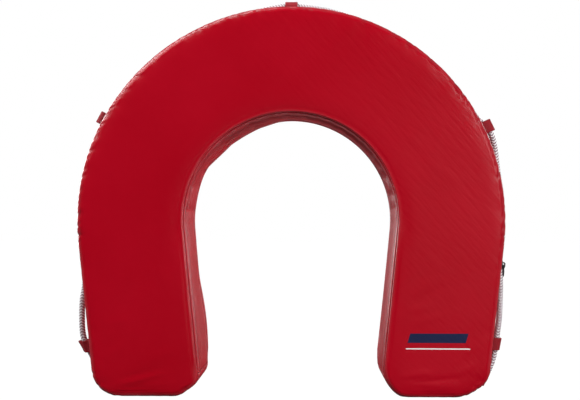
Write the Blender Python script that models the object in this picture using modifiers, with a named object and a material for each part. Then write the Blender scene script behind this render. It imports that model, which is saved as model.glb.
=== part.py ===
"""Horseshoe lifebuoy: a foam core in a sewn cover, with webbing beckets and a grab line.

It stands upright on its two feet with the crown on top. Metres, +Z up; the front panel
faces -Y, and the origin is on the floor, midway between the feet.
"""

import math

import bmesh
import bpy
from mathutils import Vector
from mathutils.geometry import interpolate_bezier

# Outline, seen from the front: two arcs about one centre, and two legs that lean inwards.
OUTER_RADIUS = 0.300
INNER_RADIUS = 0.149
CENTRE_HEIGHT = 0.2465
OUTER_LEAN = math.radians(6.7)
INNER_LEAN = math.radians(5.8)
OUTER_CORNER = 0.040
INNER_CORNER = 0.028
ARC_STEP = math.radians(7.5)
CORNER_STEP = math.radians(18)

# Section through the buoy.
THICKNESS = 0.110
FABRIC = 0.001
RIM_RADIUS = 0.012
SKIRT = 0.001
GAP = 0.0003
FRONT = -THICKNESS / 2
BACK = THICKNESS / 2
SEAM_DEPTH = THICKNESS / 2 - RIM_RADIUS - SKIRT
GUSSET_DEPTH = SEAM_DEPTH - GAP
FOAM_INSET = 0.0025
FOAM_SHEET = (THICKNESS - 2 * FOAM_INSET - 2 * GAP) / 3

# Zip in the right leg's outer side. Distances run down the leg from the crown seam.
ZIP_DEPTH = -0.024
ZIP_SLOT = 0.0070
ZIP_TAPE = 0.0006
ZIP_TAPE_WIDTH = 0.012
COIL_WIDTH = 0.0050
COIL_LOW = -0.0010
COIL_HIGH = 0.0018
COIL_ENDS = (0.006, 0.171)
TOP_STOP = 0.0165
BOTTOM_STOP = 0.1650
SLIDER_REST = 0.0287
SLIDER_LENGTH = 0.012
SLIDER_WIDTH = 0.0085
SLIDER_LOW = 0.0005
SLIDER_TOP = 0.0048
BRIDGE_WIDTH = 0.0026
PULL_AXIS_HEIGHT = 0.0065
PULL_THICKNESS = 0.0012
PULL_LENGTH = 0.016
PULL_WIDTH = 0.0078
BRIDGE_FOOT = 0.0046
BRIDGE_TOP = 0.0092

# Webbing beckets and the tabs that hold the ends of the line.
WEBBING = 0.0015
BECKET_WIDTH = 0.018
BECKET_HALF_ARCH = 0.0106
FOOT_END = 0.022
FOOT_TOP = 0.0021
TAB_HEIGHT = 0.0135
TAB_HALF_ARCH = 0.0068
TAB_FOOT_END = 0.018
LINE_DEPTH = 0.005
UPPER_LEFT_ANGLE = math.radians(28.0)
UPPER_RIGHT_ANGLE = math.radians(25.4)
LOWER_LEFT_DISTANCE = 0.1492
LOWER_RIGHT_DISTANCE = 0.1432
TAB_ANGLE = math.radians(-32)
TAB_WIDTH = 0.014
FOOT_TURN = 0.0032
STITCH_MARGIN = 0.002
STITCH_WIDTH = 0.0035
STITCH_HEIGHT = 0.0007

# Grab line, from the left foot over the crown to the right foot.
LINE_DIAMETER = 0.008
LINE_STEPS = 97
WHIPPING_LENGTH = 0.007
WHIPPING_WALL = 0.0007
LINE_ROUTE = [
    (-0.2659, 0.005, 0.0043),
    (-0.2714, 0.005, 0.0095),
    (-0.2763, 0.005, 0.0157),
    (-0.2803, 0.005, 0.0227),
    (-0.2833, 0.005, 0.0319),
    (-0.2860, 0.005, 0.0400),
    (-0.2905, 0.005, 0.0490),
    (-0.2965, 0.005, 0.0600),
    (-0.3010, 0.005, 0.0700),
    (-0.3040, 0.005, 0.0830),
    (-0.3050, 0.005, 0.1050),
    (-0.3043, 0.005, 0.1283),
    (-0.3020, 0.006, 0.1459),
    (-0.3012, 0.007, 0.1700),
    (-0.3030, 0.008, 0.1950),
    (-0.3060, 0.008, 0.2300),
    (-0.3050, 0.008, 0.2840),
    (-0.2950, 0.007, 0.3350),
    (-0.2816, 0.006, 0.3700),
    (-0.2710, 0.005, 0.3913),
    (-0.2585, 0.005, 0.4125),
    (-0.2400, 0.005, 0.4383),
    (-0.2160, 0.004, 0.4650),
    (-0.1760, 0.003, 0.4985),
    (-0.1250, 0.003, 0.5275),
    (-0.0750, 0.004, 0.5435),
    (-0.0500, 0.005, 0.5505),
    (-0.0300, 0.005, 0.5560),
    (0.0000, 0.005, 0.5590),
    (0.0300, 0.005, 0.5566),
    (0.0640, 0.006, 0.5500),
    (0.0925, 0.007, 0.5410),
    (0.1253, 0.008, 0.5279),
    (0.1629, 0.009, 0.5073),
    (0.1977, 0.008, 0.4821),
    (0.2285, 0.007, 0.4523),
    (0.2519, 0.006, 0.4229),
    (0.2636, 0.005, 0.4049),
    (0.2716, 0.005, 0.3939),
    (0.2801, 0.005, 0.3862),
    (0.2880, 0.005, 0.3778),
    (0.2929, 0.005, 0.3678),
    (0.2965, 0.005, 0.3544),
    (0.2980, 0.004, 0.3405),
    (0.2996, 0.004, 0.3240),
    (0.3023, 0.004, 0.3053),
    (0.3052, 0.004, 0.2840),
    (0.3073, 0.004, 0.2300),
    (0.3055, 0.005, 0.2106),
    (0.3038, 0.005, 0.1900),
    (0.3041, 0.005, 0.1649),
    (0.3038, 0.005, 0.1350),
    (0.3026, 0.005, 0.1064),
    (0.2996, 0.005, 0.0830),
    (0.2976, 0.005, 0.0690),
    (0.2958, 0.005, 0.0567),
    (0.2925, 0.005, 0.0430),
    (0.2877, 0.005, 0.0312),
    (0.2832, 0.005, 0.0225),
    (0.2776, 0.005, 0.0155),
    (0.2714, 0.005, 0.0095),
    (0.2659, 0.005, 0.0043),
]

COLOURS = {
    "red_coated_fabric": ((0.42, 0.005, 0.016), 0.38, 0.0),
    "grey_foam": ((0.55, 0.56, 0.57), 0.9, 0.0),
    "red_webbing": ((0.50, 0.010, 0.020), 0.7, 0.0),
    "red_thread": ((0.33, 0.006, 0.014), 0.6, 0.0),
    "white_rope": ((0.80, 0.80, 0.80), 0.6, 0.0),
    "white_whipping": ((0.72, 0.72, 0.70), 0.5, 0.0),
    "black_zip_tape": ((0.012, 0.012, 0.013), 0.8, 0.0),
    "black_zip_plastic": ((0.015, 0.015, 0.017), 0.35, 0.0),
}


def clear_scene():
    for obj in list(bpy.data.objects):
        bpy.data.objects.remove(obj)


def new_collection(name):
    collection = bpy.data.collections.new(name)
    bpy.context.scene.collection.children.link(collection)
    return collection


def make_material(name):
    colour, roughness, metallic = COLOURS[name]
    material = bpy.data.materials.new(name)
    material.use_nodes = True
    shader = material.node_tree.nodes["Principled BSDF"]
    shader.inputs["Base Color"].default_value = (*colour, 1)
    shader.inputs["Roughness"].default_value = roughness
    shader.inputs["Metallic"].default_value = metallic
    material.diffuse_color = (*colour, 1)
    return material


def add_object(name, data, material, collection, parent=None):
    obj = bpy.data.objects.new(name, data)
    collection.objects.link(obj)
    if material:
        data.materials.append(material)
    obj.parent = parent
    return obj


def mesh_from(bm, name):
    mesh = bpy.data.meshes.new(name)
    bm.to_mesh(mesh)
    bm.free()
    return mesh


def add_frame(name, place, angle, collection):
    """An empty whose +Z points out of the buoy's side: angle turns it about Y from straight up."""
    empty = bpy.data.objects.new(name, None)
    collection.objects.link(empty)
    empty.location = place
    empty.rotation_euler = (0, angle, 0)
    return empty


def bevel(obj, width, segments, angle=math.radians(40)):
    modifier = obj.modifiers.new("Bevel", "BEVEL")
    modifier.width = width
    modifier.segments = segments
    modifier.limit_method = "ANGLE"
    modifier.angle_limit = angle
    modifier.use_clamp_overlap = False


def solidify(obj, thickness):
    modifier = obj.modifiers.new("Solidify", "SOLIDIFY")
    modifier.thickness = thickness
    modifier.offset = -1
    modifier.use_even_offset = True


def shade_smooth(mesh, angle=math.radians(35)):
    mesh.shade_smooth()
    mesh.set_sharp_from_angle(angle=angle)


# The outline runs clockwise as seen from the front, so that its left side is outside.


def arc(centre, radius, start, end, step):
    count = max(1, round(abs(end - start) / step))
    angles = [start + (end - start) * i / count for i in range(count + 1)]
    return [(centre[0] + radius * math.cos(a), centre[1] + radius * math.sin(a)) for a in angles]


def leg_point(distance, out, lean=OUTER_LEAN, radius=OUTER_RADIUS):
    """A point on the right leg's side, so far down from the arc's end, and so far out of it."""
    reach = radius + out
    x = reach * math.cos(lean) - distance * math.sin(lean)
    z = CENTRE_HEIGHT - reach * math.sin(lean) - distance * math.cos(lean)
    return x, z


def corner_centre(lean, radius, corner):
    """The centre of the round between a leg's side and the foot."""
    x, z = leg_point(0, -corner if radius > INNER_RADIUS else corner, lean, radius)
    drop = (z - corner) / math.cos(lean)
    return x - drop * math.sin(lean), corner


OUTER_CENTRE = corner_centre(OUTER_LEAN, OUTER_RADIUS, OUTER_CORNER)
INNER_CENTRE = corner_centre(INNER_LEAN, INNER_RADIUS, INNER_CORNER)
CORNER_TOP = OUTER_CENTRE[1] - OUTER_CORNER * math.sin(OUTER_LEAN)
LEG_LENGTH = (leg_point(0, 0)[1] - CORNER_TOP) / math.cos(OUTER_LEAN)
CENTRE = (0, CENTRE_HEIGHT)


def foot_outline(inset):
    outer = arc(OUTER_CENTRE, OUTER_CORNER - inset, -OUTER_LEAN, -math.pi / 2, CORNER_STEP)
    inner = arc(INNER_CENTRE, INNER_CORNER - inset, -math.pi / 2, -math.pi - INNER_LEAN, CORNER_STEP)
    return outer + inner


def half_outline(inset):
    outer = arc(CENTRE, OUTER_RADIUS - inset, math.pi / 2, -OUTER_LEAN, ARC_STEP)
    inner = arc(CENTRE, INNER_RADIUS + inset, -INNER_LEAN, math.pi / 2, ARC_STEP)
    return outer + foot_outline(inset) + inner


def whole_outline(inset):
    right = half_outline(inset)
    left = [(-x, z) for x, z in reversed(right[1:-1])]
    return right + left


def strip_mesh(name, path, across):
    """A ribbon along a path of points, swept across by one vector; its outside is path x across."""
    bm = bmesh.new()
    near = [bm.verts.new(point) for point in path]
    far = [bm.verts.new(Vector(point) + Vector(across)) for point in path]
    for i in range(len(path) - 1):
        bm.faces.new((near[i], near[i + 1], far[i + 1], far[i]))
    return mesh_from(bm, name)


def add_gusset(name, outline, depths, material, collection):
    path = [(x, depths[0], z) for x, z in outline]
    mesh = strip_mesh(name, path, (0, depths[1] - depths[0], 0))
    gusset = add_object(name, mesh, material, collection)
    solidify(gusset, FABRIC)
    shade_smooth(mesh)


def add_panel(name, face_depth, skirt_depth, material, collection):
    """A face with a rounded rim and a short skirt: the right half, mirrored."""
    bm = bmesh.new()
    outline = half_outline(0)
    face_ring = [bm.verts.new((x, face_depth, z)) for x, z in outline]
    skirt_ring = [bm.verts.new((x, skirt_depth, z)) for x, z in outline]
    bm.faces.new(face_ring)
    for i in range(len(outline) - 1):
        bm.faces.new((face_ring[i], face_ring[i + 1], skirt_ring[i + 1], skirt_ring[i]))
    bmesh.ops.recalc_face_normals(bm, faces=bm.faces)
    mesh = mesh_from(bm, name)
    panel = add_object(name, mesh, material, collection)
    mirror = panel.modifiers.new("Mirror", "MIRROR")
    mirror.merge_threshold = 0.0001
    bevel(panel, RIM_RADIUS, 3)
    solidify(panel, FABRIC)
    shade_smooth(mesh)


def add_foam_sheet(name, front, back, material, collection, round_front=False, round_back=False):
    bm = bmesh.new()
    outline = whole_outline(FOAM_INSET)
    face = bm.faces.new([bm.verts.new((x, front, z)) for x, z in outline])
    swept = bmesh.ops.extrude_face_region(bm, geom=[face], use_keep_orig=True)
    moved = [item for item in swept["geom"] if isinstance(item, bmesh.types.BMVert)]
    bmesh.ops.translate(bm, verts=moved, vec=(0, back - front, 0))
    bmesh.ops.recalc_face_normals(bm, faces=bm.faces)
    weights = bm.edges.layers.float.new("bevel_weight_edge")
    for edge in bm.edges:
        depths = [vert.co.y for vert in edge.verts]
        at_front = round_front and max(depths) < (front + back) / 2
        at_back = round_back and min(depths) > (front + back) / 2
        edge[weights] = 1.0 if at_front or at_back else 0.0
    mesh = mesh_from(bm, name)
    sheet = add_object(name, mesh, material, collection)
    if round_front or round_back:
        modifier = sheet.modifiers.new("Bevel", "BEVEL")
        modifier.width = RIM_RADIUS - FOAM_INSET
        modifier.segments = 2
        modifier.limit_method = "WEIGHT"
        modifier.use_clamp_overlap = False


def add_foam_core(material, collection):
    front = FRONT + FOAM_INSET
    middle = front + FOAM_SHEET + GAP
    back = middle + FOAM_SHEET + GAP
    add_foam_sheet("foam_core_front", front, front + FOAM_SHEET, material, collection, round_front=True)
    add_foam_sheet("foam_core_middle", middle, middle + FOAM_SHEET, material, collection)
    add_foam_sheet("foam_core_back", back, back + FOAM_SHEET, material, collection, round_back=True)


def add_gussets(material, collection):
    full = (-GUSSET_DEPTH, GUSSET_DEPTH)
    crown = arc(CENTRE, OUTER_RADIUS, math.pi + OUTER_LEAN, -OUTER_LEAN, ARC_STEP)
    add_gusset("crown_gusset", crown, full, material, collection)
    start, end = leg_point(GAP, 0), leg_point(LEG_LENGTH - GAP, 0)
    left_side = [(-end[0], end[1]), (-start[0], start[1])]
    add_gusset("left_side_gusset", left_side, full, material, collection)
    slot_front = ZIP_DEPTH - ZIP_SLOT / 2
    slot_back = ZIP_DEPTH + ZIP_SLOT / 2
    add_gusset("right_side_gusset_front", [start, end], (-GUSSET_DEPTH, slot_front), material, collection)
    add_gusset("right_side_gusset_back", [start, end], (slot_back, GUSSET_DEPTH), material, collection)
    foot = foot_outline(0)
    add_gusset("right_foot_gusset", foot, full, material, collection)
    mirrored = [(-x, z) for x, z in reversed(foot)]
    add_gusset("left_foot_gusset", mirrored, full, material, collection)
    trim = GAP / INNER_RADIUS
    inner_arc = arc(CENTRE, INNER_RADIUS, -INNER_LEAN, math.pi + INNER_LEAN, ARC_STEP)
    foot_end = foot[-1]
    low = (foot_end[0] + GAP * math.sin(INNER_LEAN), foot_end[1] + GAP * math.cos(INNER_LEAN))
    inner = [low] + inner_arc + [(-low[0], low[1])]
    add_gusset("inner_gusset", inner, full, material, collection)


def arch_profile(half_arch, height, foot_end):
    """The outside of a strap's arch, as (depth, height): flat feet and a round top."""
    crown_height = height - half_arch
    rise = min(0.008, 0.45 * crown_height + FOOT_TOP)
    left = [
        (-foot_end, FOOT_TOP),
        (-half_arch - FOOT_TURN, FOOT_TOP),
        (-half_arch - 0.0011, FOOT_TOP + 0.0007),
        (-half_arch, min(rise, FOOT_TOP + 0.0027)),
    ]
    top = arc((0, crown_height), half_arch, math.pi, 0, CORNER_STEP)
    right = [(-y, z) for y, z in reversed(left)]
    return left + top + right


def add_strap(name, profile, width, frame, material, collection):
    path = [(0, y, z) for y, z in profile]
    mesh = strip_mesh(name, path, (-width, 0, 0))
    for vertex in mesh.vertices:
        vertex.co.x += width / 2
    strap = add_object(name, mesh, material, collection, frame)
    solidify(strap, WEBBING)
    shade_smooth(mesh)


def add_stitch(name, place, length, frame, material, collection):
    """A bar tack across a strap's foot."""
    bm = bmesh.new()
    bmesh.ops.create_cube(bm, size=1)
    bmesh.ops.scale(bm, vec=(length, STITCH_WIDTH, STITCH_HEIGHT), verts=bm.verts)
    mesh = mesh_from(bm, name)
    stitch = add_object(name, mesh, material, collection, frame)
    stitch.location = (0, place, FOOT_TOP + GAP + STITCH_HEIGHT / 2)


def add_stitched_strap(name, frame, arch, width, materials, collection):
    """A strap with a bar tack through each foot; arch is its half width, height and foot end."""
    add_strap(name, arch_profile(*arch), width, frame, materials["red_webbing"], collection)
    half_arch, _, foot_end = arch
    place = (foot_end + half_arch + FOOT_TURN) / 2
    length = width - 2 * STITCH_MARGIN
    add_stitch(name + "_stitch_front", -place, length, frame, materials["red_thread"], collection)
    add_stitch(name + "_stitch_back", place, length, frame, materials["red_thread"], collection)


def add_beckets(materials, collection):
    """Webbing loops of different slack, as (x, z, angle, height)."""

    def crown_place(angle):
        return (OUTER_RADIUS * math.cos(angle), CENTRE_HEIGHT + OUTER_RADIUS * math.sin(angle), angle)

    left, right = leg_point(LOWER_LEFT_DISTANCE, 0), leg_point(LOWER_RIGHT_DISTANCE, 0)
    places = {
        "becket_crown": (*crown_place(math.pi / 2), 0.019),
        "becket_upper_right": (*crown_place(UPPER_RIGHT_ANGLE), 0.025),
        "becket_upper_left": (*crown_place(math.pi - UPPER_LEFT_ANGLE), 0.020),
        "becket_lower_right": (*right, -OUTER_LEAN, 0.023),
        "becket_lower_left": (-left[0], left[1], math.pi + OUTER_LEAN, 0.025),
    }
    for name, (x, z, angle, height) in places.items():
        frame = add_frame(name + "_frame", (x, LINE_DEPTH, z), math.pi / 2 - angle, collection)
        arch = (BECKET_HALF_ARCH, height, FOOT_END)
        add_stitched_strap(name, frame, arch, BECKET_WIDTH, materials, collection)


def add_line_tabs(materials, collection):
    x = OUTER_CENTRE[0] + OUTER_CORNER * math.cos(TAB_ANGLE)
    z = OUTER_CENTRE[1] + OUTER_CORNER * math.sin(TAB_ANGLE)
    arch = (TAB_HALF_ARCH, TAB_HEIGHT, TAB_FOOT_END)
    for name, side, angle in (("line_tab_right", 1, TAB_ANGLE), ("line_tab_left", -1, math.pi - TAB_ANGLE)):
        frame = add_frame(name + "_frame", (side * x, LINE_DEPTH, z), math.pi / 2 - angle, collection)
        add_stitched_strap(name, frame, arch, TAB_WIDTH, materials, collection)


def smooth_route(points, count):
    """Evenly counted points on the smooth curve through the given ones."""
    knots = [Vector(point) for point in points]
    curve = []
    for i in range(len(knots) - 1):
        before = knots[max(i - 1, 0)]
        after = knots[min(i + 2, len(knots) - 1)]
        out_handle = knots[i] + (knots[i + 1] - before) / 6
        in_handle = knots[i + 1] - (after - knots[i]) / 6
        curve += interpolate_bezier(knots[i], out_handle, in_handle, knots[i + 1], 17)[:-1]
    curve.append(knots[-1])
    lengths = [0.0]
    for a, b in zip(curve, curve[1:]):
        lengths.append(lengths[-1] + (b - a).length)
    route = []
    at = 0
    for i in range(count):
        wanted = lengths[-1] * i / (count - 1)
        while at < len(curve) - 2 and lengths[at + 1] < wanted:
            at += 1
        share = (wanted - lengths[at]) / (lengths[at + 1] - lengths[at])
        route.append(curve[at].lerp(curve[at + 1], min(share, 1.0)))
    return route


def add_tube(name, route, diameter, material, collection):
    data = bpy.data.curves.new(name, "CURVE")
    data.dimensions = "3D"
    data.bevel_depth = diameter / 2
    data.bevel_resolution = 2
    data.use_fill_caps = True
    spline = data.splines.new("POLY")
    spline.points.add(len(route) - 1)
    for point, place in zip(spline.points, route):
        point.co = (*place, 1)
    spline.use_smooth = True
    add_object(name, data, material, collection)


def add_whipping(name, end, before, material, collection):
    """A sleeve of twine round the end of the line."""
    end, before = Vector(end), Vector(before)
    direction = (end - before).normalized()
    bm = bmesh.new()
    outer = LINE_DIAMETER / 2 + GAP + WHIPPING_WALL
    profile = [
        bm.verts.new((outer, 0, WHIPPING_LENGTH / 2)),
        bm.verts.new((outer, 0, -WHIPPING_LENGTH / 2)),
    ]
    bm.edges.new(profile)
    mesh = mesh_from(bm, name)
    sleeve = add_object(name, mesh, material, collection)
    screw = sleeve.modifiers.new("Screw", "SCREW")
    screw.steps = 16
    screw.render_steps = 16
    screw.use_merge_vertices = True
    screw.merge_threshold = 0.0001
    solidify(sleeve, WHIPPING_WALL)
    sleeve.location = end - direction * (WHIPPING_LENGTH / 2 + GAP)
    sleeve.rotation_euler = direction.to_track_quat("Z", "Y").to_euler()


def add_grab_line(materials, collection):
    route = smooth_route(LINE_ROUTE, LINE_STEPS)
    add_tube("grab_line", route, LINE_DIAMETER, materials["white_rope"], collection)
    whipping = materials["white_whipping"]
    add_whipping("line_whipping_left", route[0], route[1], whipping, collection)
    add_whipping("line_whipping_right", route[-1], route[-2], whipping, collection)


# The zip's frame is on the right leg: its +X runs down the leg, +Y back and +Z out of the side.


def zip_frame(name, distance, collection):
    x, z = leg_point(distance, 0)
    return add_frame(name, (x, ZIP_DEPTH, z), math.pi / 2 + OUTER_LEAN, collection)


def add_block(name, low, high, rounding, material, collection, parent):
    bm = bmesh.new()
    bmesh.ops.create_cube(bm, size=1)
    low, high = Vector(low), Vector(high)
    bmesh.ops.scale(bm, vec=high - low, verts=bm.verts)
    bmesh.ops.translate(bm, vec=(low + high) / 2, verts=bm.verts)
    block = add_object(name, mesh_from(bm, name), material, collection, parent)
    if rounding:
        bevel(block, rounding, 1)
    return block


def add_zip_track(materials, collection):
    frame = zip_frame("zip_frame", 0, collection)
    tape_top = -FABRIC - GAP
    tape_low = tape_top - ZIP_TAPE
    tape, plastic = materials["black_zip_tape"], materials["black_zip_plastic"]
    ends = (0.003, LEG_LENGTH - 0.003)
    sides = {"zip_tape_front": (-ZIP_TAPE_WIDTH, -GAP / 2), "zip_tape_back": (GAP / 2, ZIP_TAPE_WIDTH)}
    for name, (inner, outer) in sides.items():
        low, high = (ends[0], inner, tape_low), (ends[1], outer, tape_top)
        add_block(name, low, high, 0, tape, collection, frame)
    half = COIL_WIDTH / 2
    low, high = (COIL_ENDS[0], -half, COIL_LOW), (COIL_ENDS[1], half, COIL_HIGH)
    add_block("zip_coil", low, high, 0.0008, plastic, collection, frame)
    for name, place in (("zip_top_stop", TOP_STOP), ("zip_bottom_stop", BOTTOM_STOP)):
        add_stop(name, place, plastic, collection, frame)


def add_stop(name, place, material, collection, frame):
    """A clip over the coil, open below."""
    inside = COIL_WIDTH / 2 + GAP
    outside = inside + 0.0009
    low, high = SLIDER_LOW, COIL_HIGH + GAP
    section = [
        (-outside, low),
        (-outside, high + 0.0006),
        (-inside, high + 0.0009),
        (inside, high + 0.0009),
        (outside, high + 0.0006),
        (outside, low),
        (inside, low),
        (inside, high),
        (-inside, high),
        (-inside, low),
    ]
    bm = bmesh.new()
    face = bm.faces.new([bm.verts.new((place - 0.0015, y, z)) for y, z in section])
    swept = bmesh.ops.extrude_face_region(bm, geom=[face], use_keep_orig=True)
    moved = [item for item in swept["geom"] if isinstance(item, bmesh.types.BMVert)]
    bmesh.ops.translate(bm, verts=moved, vec=(0.003, 0, 0))
    bmesh.ops.recalc_face_normals(bm, faces=bm.faces)
    add_object(name, mesh_from(bm, name), material, collection, frame)


def boolean(obj, operand, operation):
    modifier = obj.modifiers.new("Boolean", "BOOLEAN")
    modifier.operation = operation
    modifier.object = operand
    modifier.solver = "EXACT"


def prism(outline, low, high, place):
    """A closed prism on a plan outline; place turns an outline point and a height into x, y, z."""
    bm = bmesh.new()
    face = bm.faces.new([bm.verts.new(place(a, b, low)) for a, b in outline])
    swept = bmesh.ops.extrude_face_region(bm, geom=[face], use_keep_orig=True)
    moved = [item for item in swept["geom"] if isinstance(item, bmesh.types.BMVert)]
    start, end = Vector(place(0, 0, low)), Vector(place(0, 0, high))
    bmesh.ops.translate(bm, verts=moved, vec=end - start)
    bmesh.ops.recalc_face_normals(bm, faces=bm.faces)
    return bm


def slider_plan():
    """The slider's body seen from outside: a wide mouth at the top, a narrow tail at the bottom."""
    half, length = SLIDER_WIDTH / 2, SLIDER_LENGTH / 2
    mouth = [(-length, half - 0.0014), (-length + 0.0012, half - 0.0003)]
    tail = [(0.0, half - 0.0004), (length - 0.0010, half - 0.0008), (length, half - 0.0016)]
    side = mouth + tail
    return side + [(x, -y) for x, y in reversed(side)]


def bridge_outline():
    """The bridge seen from the side, with the opening that the pull's eye sits in."""
    opening_low, opening_high = SLIDER_TOP + 0.0002, PULL_AXIS_HEIGHT + 0.0012
    outer = [(-BRIDGE_FOOT, SLIDER_TOP - 0.0006), (-0.0042, BRIDGE_TOP - 0.0012), (-0.0026, BRIDGE_TOP)]
    outer += [(-x, z) for x, z in reversed(outer)]
    inner = [(0.0026, opening_low), (0.0024, opening_high), (-0.0024, opening_high), (-0.0026, opening_low)]
    return outer, inner


def add_slider(materials, cutters, collection):
    frame = zip_frame("zip_slider_frame", SLIDER_REST, collection)
    plastic = materials["black_zip_plastic"]
    body = prism(slider_plan(), SLIDER_LOW, SLIDER_TOP, lambda a, b, z: (a, b, z))
    slider = add_object("zip_slider", mesh_from(body, "zip_slider"), plastic, collection, frame)
    bevel(slider, 0.0004, 1)
    half = COIL_WIDTH / 2 + 2 * GAP
    low, high = (-0.02, -half, -0.002), (0.02, half, COIL_HIGH + 2 * GAP)
    channel = add_block("slider_channel", low, high, 0, None, cutters, frame)
    boolean(slider, channel, "DIFFERENCE")
    outer, inner = bridge_outline()
    half_bridge = BRIDGE_WIDTH / 2
    arch = prism(outer, -half_bridge, half_bridge, lambda a, b, y: (a, y, b))
    bridge = add_object("slider_bridge", mesh_from(arch, "slider_bridge"), None, cutters, frame)
    boolean(slider, bridge, "UNION")
    hole = prism(inner, -0.01, 0.01, lambda a, b, y: (a, y, b))
    opening = add_object("bridge_opening", mesh_from(hole, "bridge_opening"), None, cutters, frame)
    boolean(slider, opening, "DIFFERENCE")
    return frame


def pull_axis():
    """Where the pull's eye bar lies, in the world."""
    x, z = leg_point(SLIDER_REST, PULL_AXIS_HEIGHT)
    return x, ZIP_DEPTH, z


def pull_outline():
    """The pull hanging down from its eye bar at the origin, as (y, z)."""
    half = PULL_WIDTH / 2
    neck = half - 0.0006
    right = [
        (neck, 0.0008),
        (half, -0.0010),
        (half, -0.0090),
        (half - 0.0010, -0.0120),
        (half - 0.0012, -PULL_LENGTH + 0.0030),
        (half - 0.0022, -PULL_LENGTH + 0.0008),
        (half - 0.0032, -PULL_LENGTH),
    ]
    return right + [(-y, z) for y, z in reversed(right)]


def add_pull(materials, cutters, collection):
    axis = add_frame("zip_pull_frame", pull_axis(), 0, collection)
    half = PULL_THICKNESS / 2
    plastic = materials["black_zip_plastic"]
    plate = prism(pull_outline(), -half, half, lambda y, z, x: (x, y, z))
    pull = add_object("zip_pull", mesh_from(plate, "zip_pull"), plastic, collection, axis)
    bevel(pull, 0.0002, 1)
    eye = add_block("pull_eye", (-0.01, -0.0022, -0.0062), (0.01, 0.0022, -0.0008), 0, None, cutters, axis)
    boolean(pull, eye, "DIFFERENCE")


def main():
    clear_scene()
    lifebuoy = new_collection("horseshoe_lifebuoy")
    cutters = new_collection("cutters")
    materials = {name: make_material(name) for name in COLOURS}
    fabric = materials["red_coated_fabric"]
    add_foam_core(materials["grey_foam"], lifebuoy)
    add_panel("front_panel", FRONT, -SEAM_DEPTH, fabric, lifebuoy)
    add_panel("back_panel", BACK, SEAM_DEPTH, fabric, lifebuoy)
    add_gussets(fabric, lifebuoy)
    add_beckets(materials, lifebuoy)
    add_line_tabs(materials, lifebuoy)
    add_grab_line(materials, lifebuoy)
    add_zip_track(materials, lifebuoy)
    add_slider(materials, cutters, lifebuoy)
    add_pull(materials, cutters, lifebuoy)
    for cutter in cutters.objects:
        cutter.hide_render = True
        cutter.display_type = "WIRE"


main()
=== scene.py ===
"""Looks of the horseshoe lifebuoy: its sewn cover, braided grab line, beckets and zip.

Everything is in metres in the CAD's frame: +Z up, the front panel faces -Y, +X to its right.
"""

from math import cos, degrees, hypot, pi, radians, sin, tan
import random

import bpy
import numpy as np
from mathutils import Euler, Matrix, Vector
from mathutils.geometry import interpolate_bezier


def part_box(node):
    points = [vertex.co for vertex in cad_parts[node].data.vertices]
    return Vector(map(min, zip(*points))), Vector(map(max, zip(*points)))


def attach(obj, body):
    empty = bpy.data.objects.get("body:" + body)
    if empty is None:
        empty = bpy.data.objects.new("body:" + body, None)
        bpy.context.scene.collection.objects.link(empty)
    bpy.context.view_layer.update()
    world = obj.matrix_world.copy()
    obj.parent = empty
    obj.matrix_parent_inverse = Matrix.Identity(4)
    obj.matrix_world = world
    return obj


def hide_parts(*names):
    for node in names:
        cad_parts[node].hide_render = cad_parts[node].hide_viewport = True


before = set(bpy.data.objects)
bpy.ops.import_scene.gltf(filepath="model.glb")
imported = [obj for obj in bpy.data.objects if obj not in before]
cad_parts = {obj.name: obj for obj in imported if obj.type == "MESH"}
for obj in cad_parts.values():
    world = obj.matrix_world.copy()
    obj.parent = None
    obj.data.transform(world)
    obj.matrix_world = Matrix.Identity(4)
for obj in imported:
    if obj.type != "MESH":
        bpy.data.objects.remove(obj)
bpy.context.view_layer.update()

# Outline and section, as in the CAD.
PANEL_LOW, PANEL_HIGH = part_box("front_panel")
OUTER_RADIUS = PANEL_HIGH.x
CENTRE_HEIGHT = PANEL_HIGH.z - OUTER_RADIUS
FRONT = PANEL_LOW.y
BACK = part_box("back_panel")[1].y
THICKNESS = BACK - FRONT
INNER_RADIUS = 0.149
OUTER_LEAN = radians(6.7)
INNER_LEAN = radians(5.8)
OUTER_CORNER = 0.040
INNER_CORNER = 0.028
RIM = 0.0095
SKIRT = 0.0035
FOAM_INSET = 0.0065
FOAM_GAP = 0.0002
FOAM_ROUND = 0.003

# Mesh density: steps along each part of the outline, and across the band and the foot.
CORNER_STEPS = 14
LEG_STEPS = 50
ARC_STEPS = 280
FOOT_STEPS = 22
OUTER_FINENESS = 3
RIM_ROWS = 18
GUSSET_ROWS = 14

# How the pieces are sewn: each edge turns in over TURN and runs on to FLANGE deep. EDGE_STEPS
# are the rows close to it. FOLD_POWER is how tight the inner fold is, EASE how far a fold takes
# to die out, and DARK_DIP the depth at which a dip's painted shade is full.
TURN = 0.0030
TURN_DEPTH = 0.0020
FLANGE = 0.0034
SEAM_GAP = 0.0001
EDGE_STEPS = np.array([0.0, 0.0, 0.0004, 0.0009, 0.0016, 0.0024, 0.0036])
FOLD_POWER = 12
EASE = 0.02
DARK_DIP = 0.0020
# A line near each gusset's seam, glossier from rubbing and painted lighter as a highlight: its distance
# from the seam, and its width.
RUBBED_HIGHLIGHT_AT = 0.005
RUBBED_HIGHLIGHT_WIDTH = 0.004
FABRIC = 0.0007

# Cloth simulation of the cover.
SIM_FRAMES = 16
SIM_RIM_ROWS = 5
SIM_GUSSET_ROWS = 10
SIM_SEAM_HOLD = 0.85
SIM_SETTINGS = {
    "quality": 5,
    "mass": 0.2,
    "tension_stiffness": 18,
    "compression_stiffness": 18,
    "shear_stiffness": 8,
    "bending_stiffness": 0.8,
    "use_pressure": True,
    "uniform_pressure_force": 1.6,
    "vertex_group_mass": "pin",
    "pin_stiffness": 1.0,
}
SIM_CAP = 0.0012
SIM_START_INSET = 0.0004

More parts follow.
